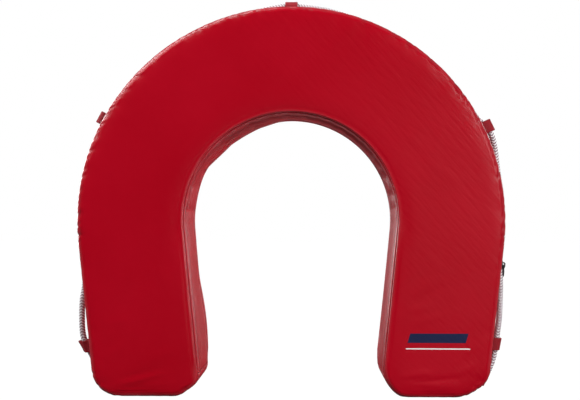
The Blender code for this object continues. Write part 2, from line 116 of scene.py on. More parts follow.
# Webbing and line.
WEBBING = 0.0015
WEBBING_WIDTH = 0.018
LINE_DEPTH = 0.005
LINE_DIAMETER = 0.008
LINE_ROUTE = [
    (-0.2659, 0.005, 0.0043), (-0.2714, 0.005, 0.0095), (-0.2763, 0.005, 0.0157), (-0.2803, 0.005, 0.0227),
    (-0.2833, 0.005, 0.0319), (-0.2860, 0.005, 0.0400), (-0.2905, 0.005, 0.0490), (-0.2965, 0.005, 0.0600),
    (-0.3010, 0.005, 0.0700), (-0.3040, 0.005, 0.0830), (-0.3050, 0.005, 0.1050), (-0.3043, 0.005, 0.1283),
    (-0.3020, 0.006, 0.1459), (-0.3012, 0.007, 0.1700), (-0.3030, 0.008, 0.1950), (-0.3060, 0.008, 0.2300),
    (-0.3050, 0.008, 0.2840), (-0.2950, 0.007, 0.3350), (-0.2816, 0.006, 0.3700), (-0.2710, 0.005, 0.3913),
    (-0.2585, 0.005, 0.4125), (-0.2400, 0.005, 0.4383), (-0.2160, 0.004, 0.4650), (-0.1760, 0.003, 0.4985),
    (-0.1250, 0.003, 0.5275), (-0.0750, 0.004, 0.5435), (-0.0500, 0.005, 0.5505), (-0.0300, 0.005, 0.5560),
    (0.0000, 0.005, 0.5590), (0.0300, 0.005, 0.5566), (0.0640, 0.006, 0.5500), (0.0925, 0.007, 0.5410),
    (0.1253, 0.008, 0.5279), (0.1629, 0.009, 0.5073), (0.1977, 0.008, 0.4821), (0.2285, 0.007, 0.4523),
    (0.2519, 0.006, 0.4229), (0.2636, 0.005, 0.4049), (0.2716, 0.005, 0.3939), (0.2801, 0.005, 0.3862),
    (0.2880, 0.005, 0.3778), (0.2929, 0.005, 0.3678), (0.2965, 0.005, 0.3544), (0.2980, 0.004, 0.3405),
    (0.2996, 0.004, 0.3240), (0.3023, 0.004, 0.3053), (0.3052, 0.004, 0.2840), (0.3073, 0.004, 0.2300),
    (0.3055, 0.005, 0.2106), (0.3038, 0.005, 0.1900), (0.3041, 0.005, 0.1649), (0.3038, 0.005, 0.1350),
    (0.3026, 0.005, 0.1064), (0.2996, 0.005, 0.0830), (0.2976, 0.005, 0.0690), (0.2958, 0.005, 0.0567),
    (0.2925, 0.005, 0.0430), (0.2877, 0.005, 0.0312), (0.2832, 0.005, 0.0225), (0.2776, 0.005, 0.0155),
    (0.2714, 0.005, 0.0095), (0.2659, 0.005, 0.0043),
]

# Depth, distance from the seam and width of the grooves in a face's rim.
INNER_GROOVE = (0.0020, 0.0032, 0.0030)
FOOT_GROOVE = (0.0013, 0.0072, 0.0026)

# How the folds of the seams are drawn. The first four are the least and most of each draw.
PUCKER_STRENGTH = (0.35, 1.0)
PUCKER_WIDTH = (0.0016, 0.0030)
PUCKER_SLANT = (-0.35, 0.35)
PUCKER_STEP = (0.62, 1.45)
PUCKER_LEAN = 60
PUCKER_WIDENING = 60
PUCKER_REACH = 0.012
GUSSET_PUCKERS = 0.6
INNER_PUCKERS = 0.2
TUG_SHIFT = 0.012

# Camera and floor.
CAMERA_LENS = 47.8
CAMERA_PLACE = (0.0126, -1.1202, 0.2475)
CAMERA_RISE = 1.38
CAMERA_SWING = 0.72
CAMERA_ROLL = 0.15
FLOOR_HALF = 7.0
FLOOR_LOW = -0.0004
FLOOR_GREY = (0.10, 0.10, 0.10, 1)
FLOOR_GLOW = 1.12

BODY = "buoy"
DICE = random.Random(11)


# --- Camera, stage and light


def add_object(name, data):
    thing = bpy.data.objects.new(name, data)
    bpy.context.scene.collection.objects.link(thing)
    return thing


def make_camera():
    data = bpy.data.cameras.new("camera")
    data.sensor_width = 36
    data.lens = CAMERA_LENS
    camera = add_object("camera", data)
    camera.location = CAMERA_PLACE
    aim = Euler((radians(90 + CAMERA_RISE), 0, radians(CAMERA_SWING))).to_matrix()
    roll = Matrix.Rotation(radians(CAMERA_ROLL), 3, "Z")
    camera.rotation_euler = (aim @ roll).to_euler()
    bpy.context.scene.camera = camera


def add_area(name, place, target, size, power):
    data = bpy.data.lights.new(name, "AREA")
    data.shape = "RECTANGLE"
    data.size, data.size_y = size
    data.energy = power
    light = add_object(name, data)
    light.location = place
    light.rotation_euler = (Vector(target) - Vector(place)).to_track_quat("-Z", "Y").to_euler()
    return light


def seen_white(tree, surface, share, white):
    """Mix a white glow over a surface or world, for what the camera sees directly."""
    direct = Value(tree, add_node(tree, "LightPath", {}).outputs["Is Camera Ray"])
    return add_node(tree, "MixShader", {0: direct * share, 1: surface, 2: white}).outputs[0]


def make_stage():
    """A plain pale floor, lit to white like the studio round it."""
    corners = [(-1, -1), (1, -1), (1, 1), (-1, 1)]
    mesh = bpy.data.meshes.new("floor")
    mesh.from_pydata([(FLOOR_HALF * x, FLOOR_HALF * y, FLOOR_LOW) for x, y in corners], [], [(0, 1, 2, 3)])
    floor = add_object("floor", mesh)
    look = Look("floor_paper", Base_Color=FLOOR_GREY, Roughness=0.9, Specular_IOR_Level=0.0)
    glow = add_node(look.tree, "Emission", {"Strength": FLOOR_GLOW})
    seen = seen_white(look.tree, look.shader.outputs[0], 0.9, glow.outputs[0])
    feed(look.tree, seen, look.tree.nodes["Material Output"].inputs["Surface"])
    mesh.materials.append(look.material)


def make_light():
    world = bpy.data.worlds.new("studio")
    world.use_nodes = True
    tree = world.node_tree
    room = tree.nodes["Background"]
    back = separated(tree, add_node(tree, "TexCoord", {}).outputs["Generated"])[1]
    feed(tree, back.spread(-0.2, 0.9, 0.03, 0.16), room.inputs["Strength"])
    room.inputs["Color"].default_value = (1, 1, 1, 1)
    white = add_node(tree, "Background", {"Color": (1, 1, 1, 1)})
    seen = seen_white(tree, room.outputs[0], 1.0, white.outputs[0])
    feed(tree, seen, tree.nodes["World Output"].inputs["Surface"])
    scene = bpy.context.scene
    scene.world = world
    scene.view_settings.view_transform = "Standard"
    add_area("key", (-2.30, -1.45, 2.50), (0, 0, 0.3), (1.5, 1.5), 90)
    add_area("fill", (2.45, -2.3, 1.4), (0, 0, 0.3), (1.3, 1.6), 112)
    add_area("low_front", (0.9, -2.7, 0.12), (0.1, 0, 0.10), (1.2, 0.5), 8)
    add_area("left_side", (-1.80, 0.15, 2.70), (0, 0, 0.3), (0.6, 3.4), 66)
    under = add_area("under", (0.22, 0.55, 0.06), (-0.06, 0, 0.42), (0.5, 0.3), 6.0)
    under.visible_camera = False
    under.visible_glossy = False
    add_area("left_back", (-1.7, 2.3, 0.5), (0, 0, 0.2), (1.2, 1.8), 50)
    add_area("right_back", (1.7, 2.3, 0.5), (0, 0, 0.2), (1.0, 1.6), 14)


# --- Outline and section
# s runs clockwise round the outline from the left foot's outer end, q across the band from
# the front face's rim to the back face's.


def leg_top(radius, lean):
    return radius * cos(lean), CENTRE_HEIGHT - radius * sin(lean)


def corner_centre(reach, lean, corner):
    x, z = leg_top(reach, lean)
    return x - (z - corner) * tan(lean), corner


def arc_part(centre, radius, start, end):
    """An arc of the outline: its length, and its points and outward normals by share of it."""
    side = 1 if end < start else -1

    def at(share):
        angle = start + (end - start) * share
        normal = np.stack([np.cos(angle), np.sin(angle)], -1)
        return np.array(centre) + radius * normal, side * normal

    return abs(end - start) * radius, at


def line_part(start, end):
    start, end = np.array(start), np.array(end)
    length = np.linalg.norm(end - start)
    along = (end - start) / length
    normal = np.array([-along[1], along[0]])

    def at(share):
        return start + np.outer(share, end - start), np.tile(normal, (len(share), 1))

    return length, at


def make_outline():
    """The outline's parts by name, as (start, length, function of share), and its whole length."""
    half, full, lean_out, lean_in = pi / 2, pi, OUTER_LEAN, INNER_LEAN
    centre = (0, CENTRE_HEIGHT)
    ox, oz = corner_centre(OUTER_RADIUS - OUTER_CORNER, lean_out, OUTER_CORNER)
    ix, iz = corner_centre(INNER_RADIUS + INNER_CORNER, lean_in, INNER_CORNER)
    top_out, top_in = leg_top(OUTER_RADIUS, lean_out), leg_top(INNER_RADIUS, lean_in)
    low_out = (ox + OUTER_CORNER * cos(lean_out), oz - OUTER_CORNER * sin(lean_out))
    low_in = (ix - INNER_CORNER * cos(lean_in), iz + INNER_CORNER * sin(lean_in))

    def left(point):
        return -point[0], point[1]

    parts = {
        "left_outer_corner": arc_part((-ox, oz), OUTER_CORNER, -half, -full + lean_out),
        "left_outer_leg": line_part(left(low_out), left(top_out)),
        "outer_arc": arc_part(centre, OUTER_RADIUS, full + lean_out, -lean_out),
        "right_outer_leg": line_part(top_out, low_out),
        "right_outer_corner": arc_part((ox, oz), OUTER_CORNER, -lean_out, -half),
        "right_foot": line_part((ox, 0), (ix, 0)),
        "right_inner_corner": arc_part((ix, iz), INNER_CORNER, -half, -full - lean_in),
        "right_inner_leg": line_part(low_in, top_in),
        "inner_arc": arc_part(centre, INNER_RADIUS, -lean_in, full + lean_in),
        "left_inner_leg": line_part(left(top_in), left(low_in)),
        "left_inner_corner": arc_part((-ix, iz), INNER_CORNER, lean_in, -half),
        "left_foot": line_part((-ix, 0), (-ox, 0)),
    }
    outline, start = {}, 0.0
    for name, (length, at) in parts.items():
        outline[name] = (start, length, at)
        start += length
    return outline, start


OUTLINE, PERIMETER = make_outline()
QUARTER = RIM * pi / 2
SECTION = 2 * QUARTER + THICKNESS - 2 * RIM
FRONT_SEAM = QUARTER + SKIRT
BACK_SEAM = SECTION - FRONT_SEAM


def outline_at(s):
    """Points on the outline and their outward normals, as (x, z)."""
    s = np.mod(s, PERIMETER)
    points, normals = np.zeros((len(s), 2)), np.zeros((len(s), 2))
    for start, length, at in OUTLINE.values():
        here = (s >= start) & (s <= start + length)
        points[here], normals[here] = at((s[here] - start) / length)
    return points, normals


def section_at(q):
    """Inset, depth, and the normal's outward and depth parts, across the band."""
    front = np.clip(q / RIM, 0, pi / 2)
    back = np.clip((SECTION - q) / RIM, 0, pi / 2)
    inset = RIM * (1 - np.sin(front)) + RIM * (1 - np.sin(back))
    straight = np.clip(q - QUARTER, 0, THICKNESS - 2 * RIM)
    depth = FRONT + RIM * (1 - np.cos(front)) + straight + RIM * np.cos(back)
    out = np.sin(front) * np.sin(back)
    return inset, depth, out, np.where(q < SECTION / 2, -1, 1) * np.sqrt(1 - out**2)


def bump(places, centre, reach):
    """A smooth hump, 1 at the centre and 0 beyond reach."""
    return np.cos(np.clip((places - centre) / reach, -1, 1) * pi / 2) ** 2


def arc_place(part, angle):
    """The place on one of the two arcs at an angle seen from the front, in degrees."""
    start, length, _ = OUTLINE[part]
    lean = degrees(OUTER_LEAN if part == "outer_arc" else INNER_LEAN)
    share = (180 + lean - angle) / (180 + 2 * lean)
    return start + length * (share if part == "outer_arc" else 1 - share)


def along_part(name, share):
    start, length, _ = OUTLINE[name]
    return start + share * length


# How the soft buoy strays outwards from its drawn outline: where, how far at every depth, how
# much more towards the back, and how far along the outline.
STRAYS = [
    (arc_place("outer_arc", 128), -0.0006, 0, 0.20),
    (arc_place("inner_arc", 122), 0, 0.0048, 0.085),
    (arc_place("inner_arc", 172), 0, 0.0034, 0.070),
    (along_part("left_inner_leg", 0.14), 0, 0.0026, 0.060),
    (along_part("left_inner_leg", 0.70), 0, 0.0066, 0.115),
    (along_part("left_inner_corner", 0) + 0.030, -0.0040, 0, 0.024),
    (along_part("right_inner_corner", 0) + 0.026, -0.0048, 0, 0.034),
    (along_part("right_outer_corner", 0.62), -0.0036, 0, 0.034),
]
STRAY_FRONT, STRAY_BACK = -0.045, 0.045


def stray(s, y):
    """How far the buoy strays at places s by depths y."""
    s = np.mod(s, PERIMETER)
    back = np.clip((y - STRAY_FRONT) / (STRAY_BACK - STRAY_FRONT), 0, 1)[:, None]
    return sum((even + more * back) * bump(s, at, reach) for at, even, more, reach in STRAYS)


def band_at(s, q):
    """Points and normals of the band, as arrays of rows q and columns s."""
    base, outward = outline_at(s)
    inset, depth, out, facing = section_at(q)
    reach = stray(s, depth) - inset[:, None]
    points, normals = np.zeros((len(q), len(s), 3)), np.zeros((len(q), len(s), 3))
    for axis, part in ((0, 0), (2, 1)):
        points[..., axis] = base[:, part] + reach * outward[:, part]
        normals[..., axis] = out[:, None] * outward[:, part]
    points[..., 1] = depth[:, None]
    points[..., 2] = np.maximum(points[..., 2], 0.0)
    normals[..., 1] = facing[:, None]
    return points, normals


def part_steps(name):
    if "corner" in name:
        return CORNER_STEPS
    if "leg" in name:
        return LEG_STEPS
    return ARC_STEPS if "arc" in name else FOOT_STEPS


def columns(coarse=1, outer=1):
    """Places of the mesh's columns round the outline, closer set by outer on its outer side."""
    places = []
    for name, (start, length, _) in OUTLINE.items():
        steps = part_steps(name) // coarse * (outer if "outer" in name else 1)
        places += [start + length * i / steps for i in range(steps)]
    return np.array(places)


def face_ring(coarse=1, outer=1):
    """Which column each border point of the face's grid is: rows along the buoy, columns across."""
    along = sum(part_steps(name) // coarse for name in list(OUTLINE)[:5])
    across = FOOT_STEPS // coarse
    turn = outer * along
    count = turn + along + 2 * across
    border = -np.ones((along + 1, across + 1), int)
    border[:, 0] = outer * np.arange(along + 1)
    border[:, -1] = turn + across + along - np.arange(along + 1)
    border[0, :] = (count - np.arange(across + 1)) % count
    border[-1, :] = turn + np.arange(across + 1)
    return border


def face_points(ring, border):
    """The face's grid, ruled across between its outer and inner borders."""
    share = np.linspace(0, 1, border.shape[1])[:, None]
    grid = ring[border[:, 0]][:, None] * (1 - share) + ring[border[:, -1]][:, None] * share
    grid[0], grid[-1] = ring[border[0]], ring[border[-1]]
    return grid


def face_polygons(grid, ring_start, outer, flip):
    """The face's quads; those on the outer border take in the closer set columns between."""
    polygons = []
    for i in range(grid.shape[0] - 1):
        for j in range(grid.shape[1] - 1):
            edge = [grid[i, j]]
            if j == 0:
                edge += [ring_start + outer * i + k for k in range(1, outer)]
            polygon = edge + [grid[i + 1, j], grid[i + 1, j + 1], grid[i, j + 1]]
            polygons.append(tuple(polygon[::-1] if flip else polygon))
    return polygons


# --- Mesh helpers


def grid_faces(rows, cols, closed=False, first=0):
    """Quads of a grid whose columns may close on themselves, facing rows x columns outwards."""
    last = cols if closed else cols - 1
    r, c = np.meshgrid(np.arange(rows - 1), np.arange(last), indexing="ij")
    after = (c + 1) % cols
    quads = np.stack([r * cols + c, r * cols + after, (r + 1) * cols + after, (r + 1) * cols + c], -1)
    return quads.reshape(-1, 4) + first


def closed_tube_faces(rows, cols):
    """A grid closed round its columns, with a cap on its first and last row."""
    faces = [tuple(quad) for quad in grid_faces(rows, cols, closed=True)]
    return faces + [tuple(range(cols))[::-1], tuple((rows - 1) * cols + i for i in range(cols))]


def grid_uv(rows, cols):
    return np.stack(np.meshgrid(rows, cols, indexing="ij"), -1).reshape(-1, 2)


def make_mesh(name, points, faces, uv=None, masks=None, smooth=True):
    mesh = bpy.data.meshes.new(name)
    mesh.from_pydata(np.asarray(points).tolist(), [], [list(map(int, face)) for face in faces])
    if uv is not None:
        layer = mesh.uv_layers.new(name="cloth")
        corners = np.empty(len(mesh.loops), int)
        mesh.loops.foreach_get("vertex_index", corners)
        layer.data.foreach_set("uv", np.asarray(uv, np.float32)[corners].ravel())
    for key, values in (masks or {}).items():
        attribute = mesh.attributes.new(key, "FLOAT", "POINT")
        attribute.data.foreach_set("value", np.asarray(values, np.float32).ravel())
    if smooth:
        mesh.shade_smooth()
    mesh.update()
    return mesh


def add_piece(name, data, material, nodes):
    piece = add_object(name, data)
    data.materials.append(material)
    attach(piece, BODY)
    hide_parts(*nodes)
    return piece


def add_cloth_piece(name, mesh, material):
    """A piece of the cover: coated fabric with some thickness, padded by the foam behind it."""
    piece = add_piece(name, mesh, material, [name])
    modifier = piece.modifiers.new("Solidify", "SOLIDIFY")
    modifier.thickness = FABRIC
    modifier.offset = -1


def catmull(knots, steps):
    """Points on a smooth curve through the knots."""
    knots = [Vector(knot) for knot in knots]
    curve = []
    for i in range(len(knots) - 1):
        before, after = knots[max(i - 1, 0)], knots[min(i + 2, len(knots) - 1)]
        out_handle = knots[i] + (knots[i + 1] - before) / 6
        in_handle = knots[i + 1] - (after - knots[i]) / 6
        curve += interpolate_bezier(knots[i], out_handle, in_handle, knots[i + 1], steps + 1)[:-1]
    curve.append(knots[-1])
    return np.array([tuple(point) for point in curve])


def run_lengths(points):
    """How far along a line each of its points is."""
    return np.concatenate([[0], np.cumsum(np.linalg.norm(np.diff(points, axis=0), axis=1))])


def evenly(points, count):
    """The same line in equal steps, and its length."""
    lengths = run_lengths(points)
    wanted = np.linspace(0, lengths[-1], count)
    return np.stack([np.interp(wanted, lengths, points[:, i]) for i in range(3)], -1), lengths[-1]


def carried_frames(points):
    """Tangents, and two side vectors carried along the line without twist."""
    tangents = np.gradient(points, axis=0)
    tangents /= np.linalg.norm(tangents, axis=1)[:, None]
    side = np.cross(tangents[0], (0, 1, 0))
    sides = []
    for tangent in tangents:
        side = side - tangent * np.dot(side, tangent)
        side = side / np.linalg.norm(side)
        sides.append(side)
    sides = np.array(sides)
    return tangents, sides, np.cross(tangents, sides)


def tube_mesh(name, line, radius, around, masks=None):
    """A tube whose radius may vary by ring and by side."""
    _, side, up = carried_frames(line)
    angle = np.linspace(0, 2 * pi, around, endpoint=False)
    ring = side[:, None] * np.cos(angle)[:, None] + up[:, None] * np.sin(angle)[:, None]
    radius = np.broadcast_to(radius, (len(line), around))
    points = (line[:, None] + ring * radius[..., None]).reshape(-1, 3)
    uv = grid_uv(run_lengths(line), angle * LINE_DIAMETER / 2)
    return make_mesh(name, points, closed_tube_faces(len(line), around), uv, masks)


# --- Materials


def feed(tree, value, socket):
    """Link a node's output to a socket, or set the socket to a plain value."""
    if isinstance(value, Value):
        value = value.socket
    if isinstance(value, bpy.types.NodeSocket):
        tree.links.new(value, socket)
    else:
        socket.default_value = value


def add_node(tree, kind, inputs, **settings):
    """A new shader node, with its inputs fed by number or name."""
    node = tree.nodes.new("ShaderNode" + kind)
    for key, value in settings.items():
        setattr(node, key, value)
    for key, value in inputs.items():
        feed(tree, value, node.inputs[key])
    return node


class Value:
    """A number or colour in a node tree, so that node maths reads like sums."""

    def __init__(self, tree, socket):
        self.tree = tree
        self.socket = socket

    def maths(self, operation, *others):
        inputs = dict(enumerate((self, *others)))
        return Value(self.tree, add_node(self.tree, "Math", inputs, operation=operation).outputs[0])

    def __add__(self, other):
        return self.maths("ADD", other)

    def __sub__(self, other):
        return self.maths("SUBTRACT", other)

    def __mul__(self, other):
        return self.maths("MULTIPLY", other)

    def __abs__(self):
        return self.maths("ABSOLUTE")

    def __lt__(self, other):
        return self.maths("LESS_THAN", other)

    def spread(self, low, high, to_low=0.0, to_high=1.0):
        """The value's range from low to high laid over another, and held there beyond it."""
        inputs = dict(enumerate((self, low, high, to_low, to_high)))
        return Value(self.tree, add_node(self.tree, "MapRange", inputs).outputs[0])


def separated(tree, vector):
    return [Value(tree, socket) for socket in add_node(tree, "SeparateXYZ", {0: vector}).outputs]


class Look:
    """A new material, its node tree, and the places that its patterns are drawn in."""

    def __init__(self, name, **values):
        self.material = bpy.data.materials.new(name)
        self.material.use_nodes = True
        self.tree = self.material.node_tree
        self.shader = self.tree.nodes["Principled BSDF"]
        for key, value in values.items():
            self.shader.inputs[key.replace("_", " ")].default_value = value
        coordinates = add_node(self.tree, "TexCoord", {})
        self.place = coordinates.outputs["Object"]
        self.cloth = coordinates.outputs["UV"]

    def noise(self, scale, detail=2.0, place=None):
        inputs = {"Vector": place or self.place, "Scale": scale, "Detail": detail}
        return Value(self.tree, add_node(self.tree, "TexNoise", inputs).outputs["Fac"])

    def mask(self, name):
        return Value(self.tree, add_node(self.tree, "Attribute", {}, attribute_name=name).outputs["Fac"])

    def mix(self, factor, first, second):
        """From the first colour to the second; a colour in numbers is red, green and blue."""
        ends = [(*value, 1) if isinstance(value, tuple) else value for value in (first, second)]
        inputs = {0: factor, 6: ends[0], 7: ends[1]}
        return Value(self.tree, add_node(self.tree, "Mix", inputs, data_type="RGBA").outputs[2])

    def plain_weave(self, pitch):
        """Height of a weave, 0 to 1: each yarn rises over one crossing and dips under the next."""
        u, v, _ = separated(self.tree, self.cloth)
        over = (u * (pi / pitch)).maths("SINE") * (v * (pi / pitch)).maths("SINE")
        return over.spread(-1, 1)

    def finish(self, colour, roughness, height, distance):
        relief = add_node(self.tree, "Bump", {"Strength": 1.0, "Distance": distance, "Height": height})
        for key, value in (("Base Color", colour), ("Roughness", roughness), ("Normal", relief.outputs[0])):
            feed(self.tree, value, self.shader.inputs[key])
        return self.material


def coated_fabric(name, printed=False):
    """Smooth red coated cloth: faint weave, soft sheen, painted shade in its dips, and a glossier line
    along its seams with a painted highlight.
    """
    look = Look(name)
    weave = look.plain_weave(0.0007)
    clouds, grain, mottle = look.noise(7.0, 3.0), look.noise(900.0), look.noise(60.0, 3.0)
    colour = look.mix(clouds.spread(0.3, 0.7), (0.365, 0.0004, 0.0080), (0.405, 0.0010, 0.0110))
    colour = look.mix(mottle.spread(0.2, 0.9, 0.0, 0.10), colour, (0.28, 0.0004, 0.008))
    # Painted shade: darker in the dips of the seams, puckers and creases.
    colour = look.mix(look.mask("valley_shade") * 0.55, colour, (0.12, 0.0004, 0.004))
    # A line along each seam: painted highlight in a lighter pink, over a coat that is glossier from
    # rubbing.
    wear_and_highlight = look.mask("rubbed_and_highlight") * mottle.spread(0.25, 0.70, 0.3, 1.0)
    colour = look.mix(wear_and_highlight * 0.30, colour, (0.56, 0.08, 0.10))
    if printed:
        colour = print_mark(look, colour)
    shine = wear_and_highlight.spread(0.0, 1.0, 0.12, 0.75)
    feed(look.tree, shine, look.shader.inputs["Specular IOR Level"])
    rough = clouds.spread(0.25, 0.75, 0.29, 0.33) - wear_and_highlight * 0.10
    height = weave + grain * 0.8 + mottle * 2.0 + stretch_lines(look)
    return look.finish(colour, rough, height, 0.00006)


def streaks(look, slope, pitch, length):
    """Noise drawn out along one slanting direction of the face."""
    x, _, z = separated(look.tree, look.place)
    right, down = cos(slope), sin(slope)
    along = x * (right / length) + z * (-down / length)
    across = x * (down / pitch) + z * (right / pitch)
    combined = add_node(look.tree, "CombineXYZ", {"X": along, "Y": across})
    return look.noise(1.0, 1.0, combined.outputs["Vector"])


def stretch_lines(look):
    """Faint slanting ripples, strongest high on the right, where the cloth is pulled on the bias."""
    steep = streaks(look, radians(50), 0.0050, 0.060)
    shallow = streaks(look, radians(34), 0.0065, 0.045)
    x, _, z = separated(look.tree, look.place)
    reach = x * 1.3 + z * 0.9 + look.noise(9.0, 1.0) * 0.35
    return (steep + shallow * 0.7) * reach.spread(0.42, 0.74, 0.12, 1.0) * 6.5


def print_mark(look, colour):
    """A generic mark low on the right leg: a slanted navy bar over a thin white rule."""
    x, _, z = separated(look.tree, look.place)
    slanted = x - z * 0.30
    bar = (abs(slanted - 0.178) < 0.040) * (abs(z - 0.0835) < 0.0065)
    rule = (abs(x - 0.203) < 0.044) * (abs(z - 0.0690) < 0.0008)
    return look.mix(rule, look.mix(bar, colour, (0.012, 0.016, 0.055)), (0.80, 0.78, 0.78))


def woven_webbing():
    """Red webbing: a coarse weave, painted lighter on its yarns' crests and darker in its hollows as light
    and shade, with a little fuzz.
    """
    look = Look("webbing", Specular_IOR_Level=0.25, Sheen_Weight=0.08, Sheen_Roughness=0.4)
    weave, yarn = look.plain_weave(0.0011), look.noise(1500.0)
    # Painted light and shade: the weave's crests lighter, its hollows darker.
    colour = look.mix(weave, (0.17, 0.001, 0.006), (0.36, 0.004, 0.014))
    colour = look.mix(yarn.spread(0.4, 0.7, 0.0, 0.3), colour, (0.36, 0.02, 0.03))
    return look.finish(colour, yarn.spread(0.3, 0.7, 0.55, 0.8), weave + yarn * 0.4, 0.00035)


def twisted_thread(name, dark, light):
    look = Look(name, Specular_IOR_Level=0.4, Sheen_Weight=0.2)
    twist = look.noise(2500.0)
    colour = look.mix(twist.spread(0.35, 0.65), dark, light)
    return look.finish(colour, twist.spread(0.3, 0.7, 0.5, 0.7), twist, 0.0002)


def braided_line():
    """White braid with dark red flecks of tracer yarn, and painted shade, grey, in the hollows between its
    strands.
    """
    look = Look("braid", Specular_IOR_Level=0.45, Sheen_Weight=0.3, Sheen_Roughness=0.4)
    yarn, dirt = look.noise(1800.0), look.noise(30.0, 3.0)
    colour = look.mix(yarn.spread(0.35, 0.65), (0.88, 0.88, 0.89), (0.98, 0.98, 0.98))
    colour = look.mix(dirt.spread(0.5, 0.8, 0.0, 0.18), colour, (0.62, 0.58, 0.54))
    # Painted shade: greyer in the hollows between the strands.
    colour = look.mix(look.mask("valley_shade") * 0.3, colour, (0.42, 0.40, 0.44))
    colour = look.mix(look.mask("tracer"), colour, (0.15, 0.02, 0.06))
    return look.finish(colour, yarn.spread(0.3, 0.7, 0.45, 0.65), yarn, 0.00025)


def zip_plastic():
    look = Look("zip_plastic", Specular_IOR_Level=0.5)
    grain, scuffs = look.noise(1200.0, 3.0), look.noise(220.0, 4.0)
    scuffed = scuffs.spread(0.5, 0.75, 0.0, 0.5)
    colour = look.mix(scuffed, (0.010, 0.010, 0.011), (0.035, 0.035, 0.037))
    return look.finish(colour, scuffs.spread(0.3, 0.7, 0.28, 0.5), grain, 0.00005)


def zip_cloth():
    look = Look("zip_cloth", Specular_IOR_Level=0.3, Sheen_Weight=0.2)
    weave = look.plain_weave(0.0005)
    # Painted light and shade: the weave's crests lighter, its hollows darker.
    colour = look.mix(weave, (0.006, 0.006, 0.007), (0.022, 0.022, 0.024))
    return look.finish(colour, look.noise(900.0).spread(0.3, 0.7, 0.7, 0.9), weave, 0.00015)


def closed_cell_foam():
    look = Look("foam", Specular_IOR_Level=0.3)
    cells = add_node(look.tree, "TexVoronoi", {"Scale": 900.0, "Vector": look.place})
    cell = Value(look.tree, cells.outputs["Distance"])
    colour = look.mix(cell, (0.62, 0.63, 0.64), (0.40, 0.41, 0.43))
    return look.finish(colour, cell.spread(0.0, 1.0, 0.75, 0.95), cell, 0.0003)


# --- Cloth simulation of the cover


def cover_mesh(points_of_band, border):
    """One closed mesh: the band and both faces."""
    rows, count = points_of_band.shape[:2]
    faces = [tuple(quad) for quad in grid_faces(rows, count, closed=True)]
    points = [points_of_band.reshape(-1, 3)]
    index = rows * count
    inner = np.zeros_like(border, bool)
    inner[1:-1, 1:-1] = True
    for row, flip in ((0, True), (rows - 1, False)):
        grid = border + row * count
        grid[inner] = index + np.arange(inner.sum())
        index += inner.sum()
        points.append(face_points(points_of_band[row], border)[inner])
        faces += face_polygons(grid, 0, 1, flip)
    return np.concatenate(points), faces


def simulate_cover():
    """How far each point of the coarse cover moves as the stuffed cloth settles."""
    places = columns(2)
    border = face_ring(2)
    rim = np.linspace(0, FRONT_SEAM, SIM_RIM_ROWS)
    between = np.linspace(FRONT_SEAM, BACK_SEAM, SIM_GUSSET_ROWS)[1:-1]
    rows_q = np.concatenate([rim, between, SECTION - rim[::-1]])
    plain, normals = band_at(places, rows_q)
    started = plain - normals * SIM_START_INSET
    points, faces = cover_mesh(started, border)
    rest, _ = cover_mesh(plain, border)
    mesh = make_mesh("cover_cloth", points, faces)
    cloth_object = add_object("cover_cloth", mesh)
    pin = cloth_object.vertex_groups.new(name="pin")
    count = len(places)
    for row in (SIM_RIM_ROWS - 1, len(rows_q) - SIM_RIM_ROWS):
        pin.add(list(range(row * count, (row + 1) * count)), SIM_SEAM_HOLD, "REPLACE")
    pin.add(np.flatnonzero(points[:, 2] < SIM_START_INSET * 1.5).tolist(), 1.0, "REPLACE")
    cloth = cloth_object.modifiers.new("Cloth", "CLOTH")
    for key, value in SIM_SETTINGS.items():
        setattr(cloth.settings, key, value)
    cloth.settings.effector_weights.gravity = 0
    cloth.collision_settings.use_collision = False
    cloth.collision_settings.use_self_collision = False
    scene = bpy.context.scene
    for step in range(1, SIM_FRAMES + 1):
        scene.frame_set(step)
    settled = cloth_object.evaluated_get(bpy.context.evaluated_depsgraph_get())
    moved = np.empty(len(points) * 3)
    settled.data.vertices.foreach_get("co", moved)
    moved = moved.reshape(-1, 3)
    scene.frame_set(1)
    bpy.data.objects.remove(cloth_object)
    offset = moved - rest
    size = np.maximum(np.linalg.norm(offset, axis=1), 1e-9)
    offset *= np.minimum(1, SIM_CAP / size)[:, None]
    return places, rows_q, border, offset


def resampled(field, where, axis, closed):
    """Smoothly read a field at fractional places along one axis."""
    count = field.shape[axis]
    low = np.floor(where).astype(int)
    share = where - low
    weights = [
        -0.5 * share + share**2 - 0.5 * share**3,
        1 - 2.5 * share**2 + 1.5 * share**3,
        0.5 * share + 2 * share**2 - 1.5 * share**3,
        -0.5 * share**2 + 0.5 * share**3,
    ]
    total = 0
    shape = [1] * field.ndim
    shape[axis] = len(where)
    for step, weight in zip((-1, 0, 1, 2), weights):
        index = (low + step) % count if closed else np.clip(low + step, 0, count - 1)
        total = total + np.take(field, index, axis) * weight.reshape(shape)
    return total


class Settled:
    """The simulated cover's offsets, read anywhere on the band or a face."""

    def __init__(self):
        places, rows_q, border, offset = simulate_cover()
        self.places = np.append(places, PERIMETER)
        self.rows_q = rows_q
        count, rows = len(places), len(rows_q)
        self.band = offset[: rows * count].reshape(rows, count, 3)
        inner = (border.shape[0] - 2) * (border.shape[1] - 2)
        self.faces = []
        for side, row in enumerate((0, rows - 1)):
            grid = self.band[row][border]
            start = rows * count + side * inner
            grid[1:-1, 1:-1] = offset[start : start + inner].reshape(border.shape[0] - 2, -1, 3)
            self.faces.append(grid)

    def on_band(self, s, q):
        where_s = np.interp(np.mod(s, PERIMETER), self.places, np.arange(len(self.places)))
        where_q = np.interp(q, self.rows_q, np.arange(len(self.rows_q)))
        return resampled(resampled(self.band, where_q, 0, False), where_s, 1, True)

    def on_face(self, side, shape):
        field = self.faces[side]
        for axis in (0, 1):
            where = np.linspace(0, field.shape[axis] - 1, shape[axis])
            field = resampled(field, where, axis, False)
        return field


# --- Puckers and creases


def part_range(name):
    start, length, _ = OUTLINE[name]
    return start, start + length


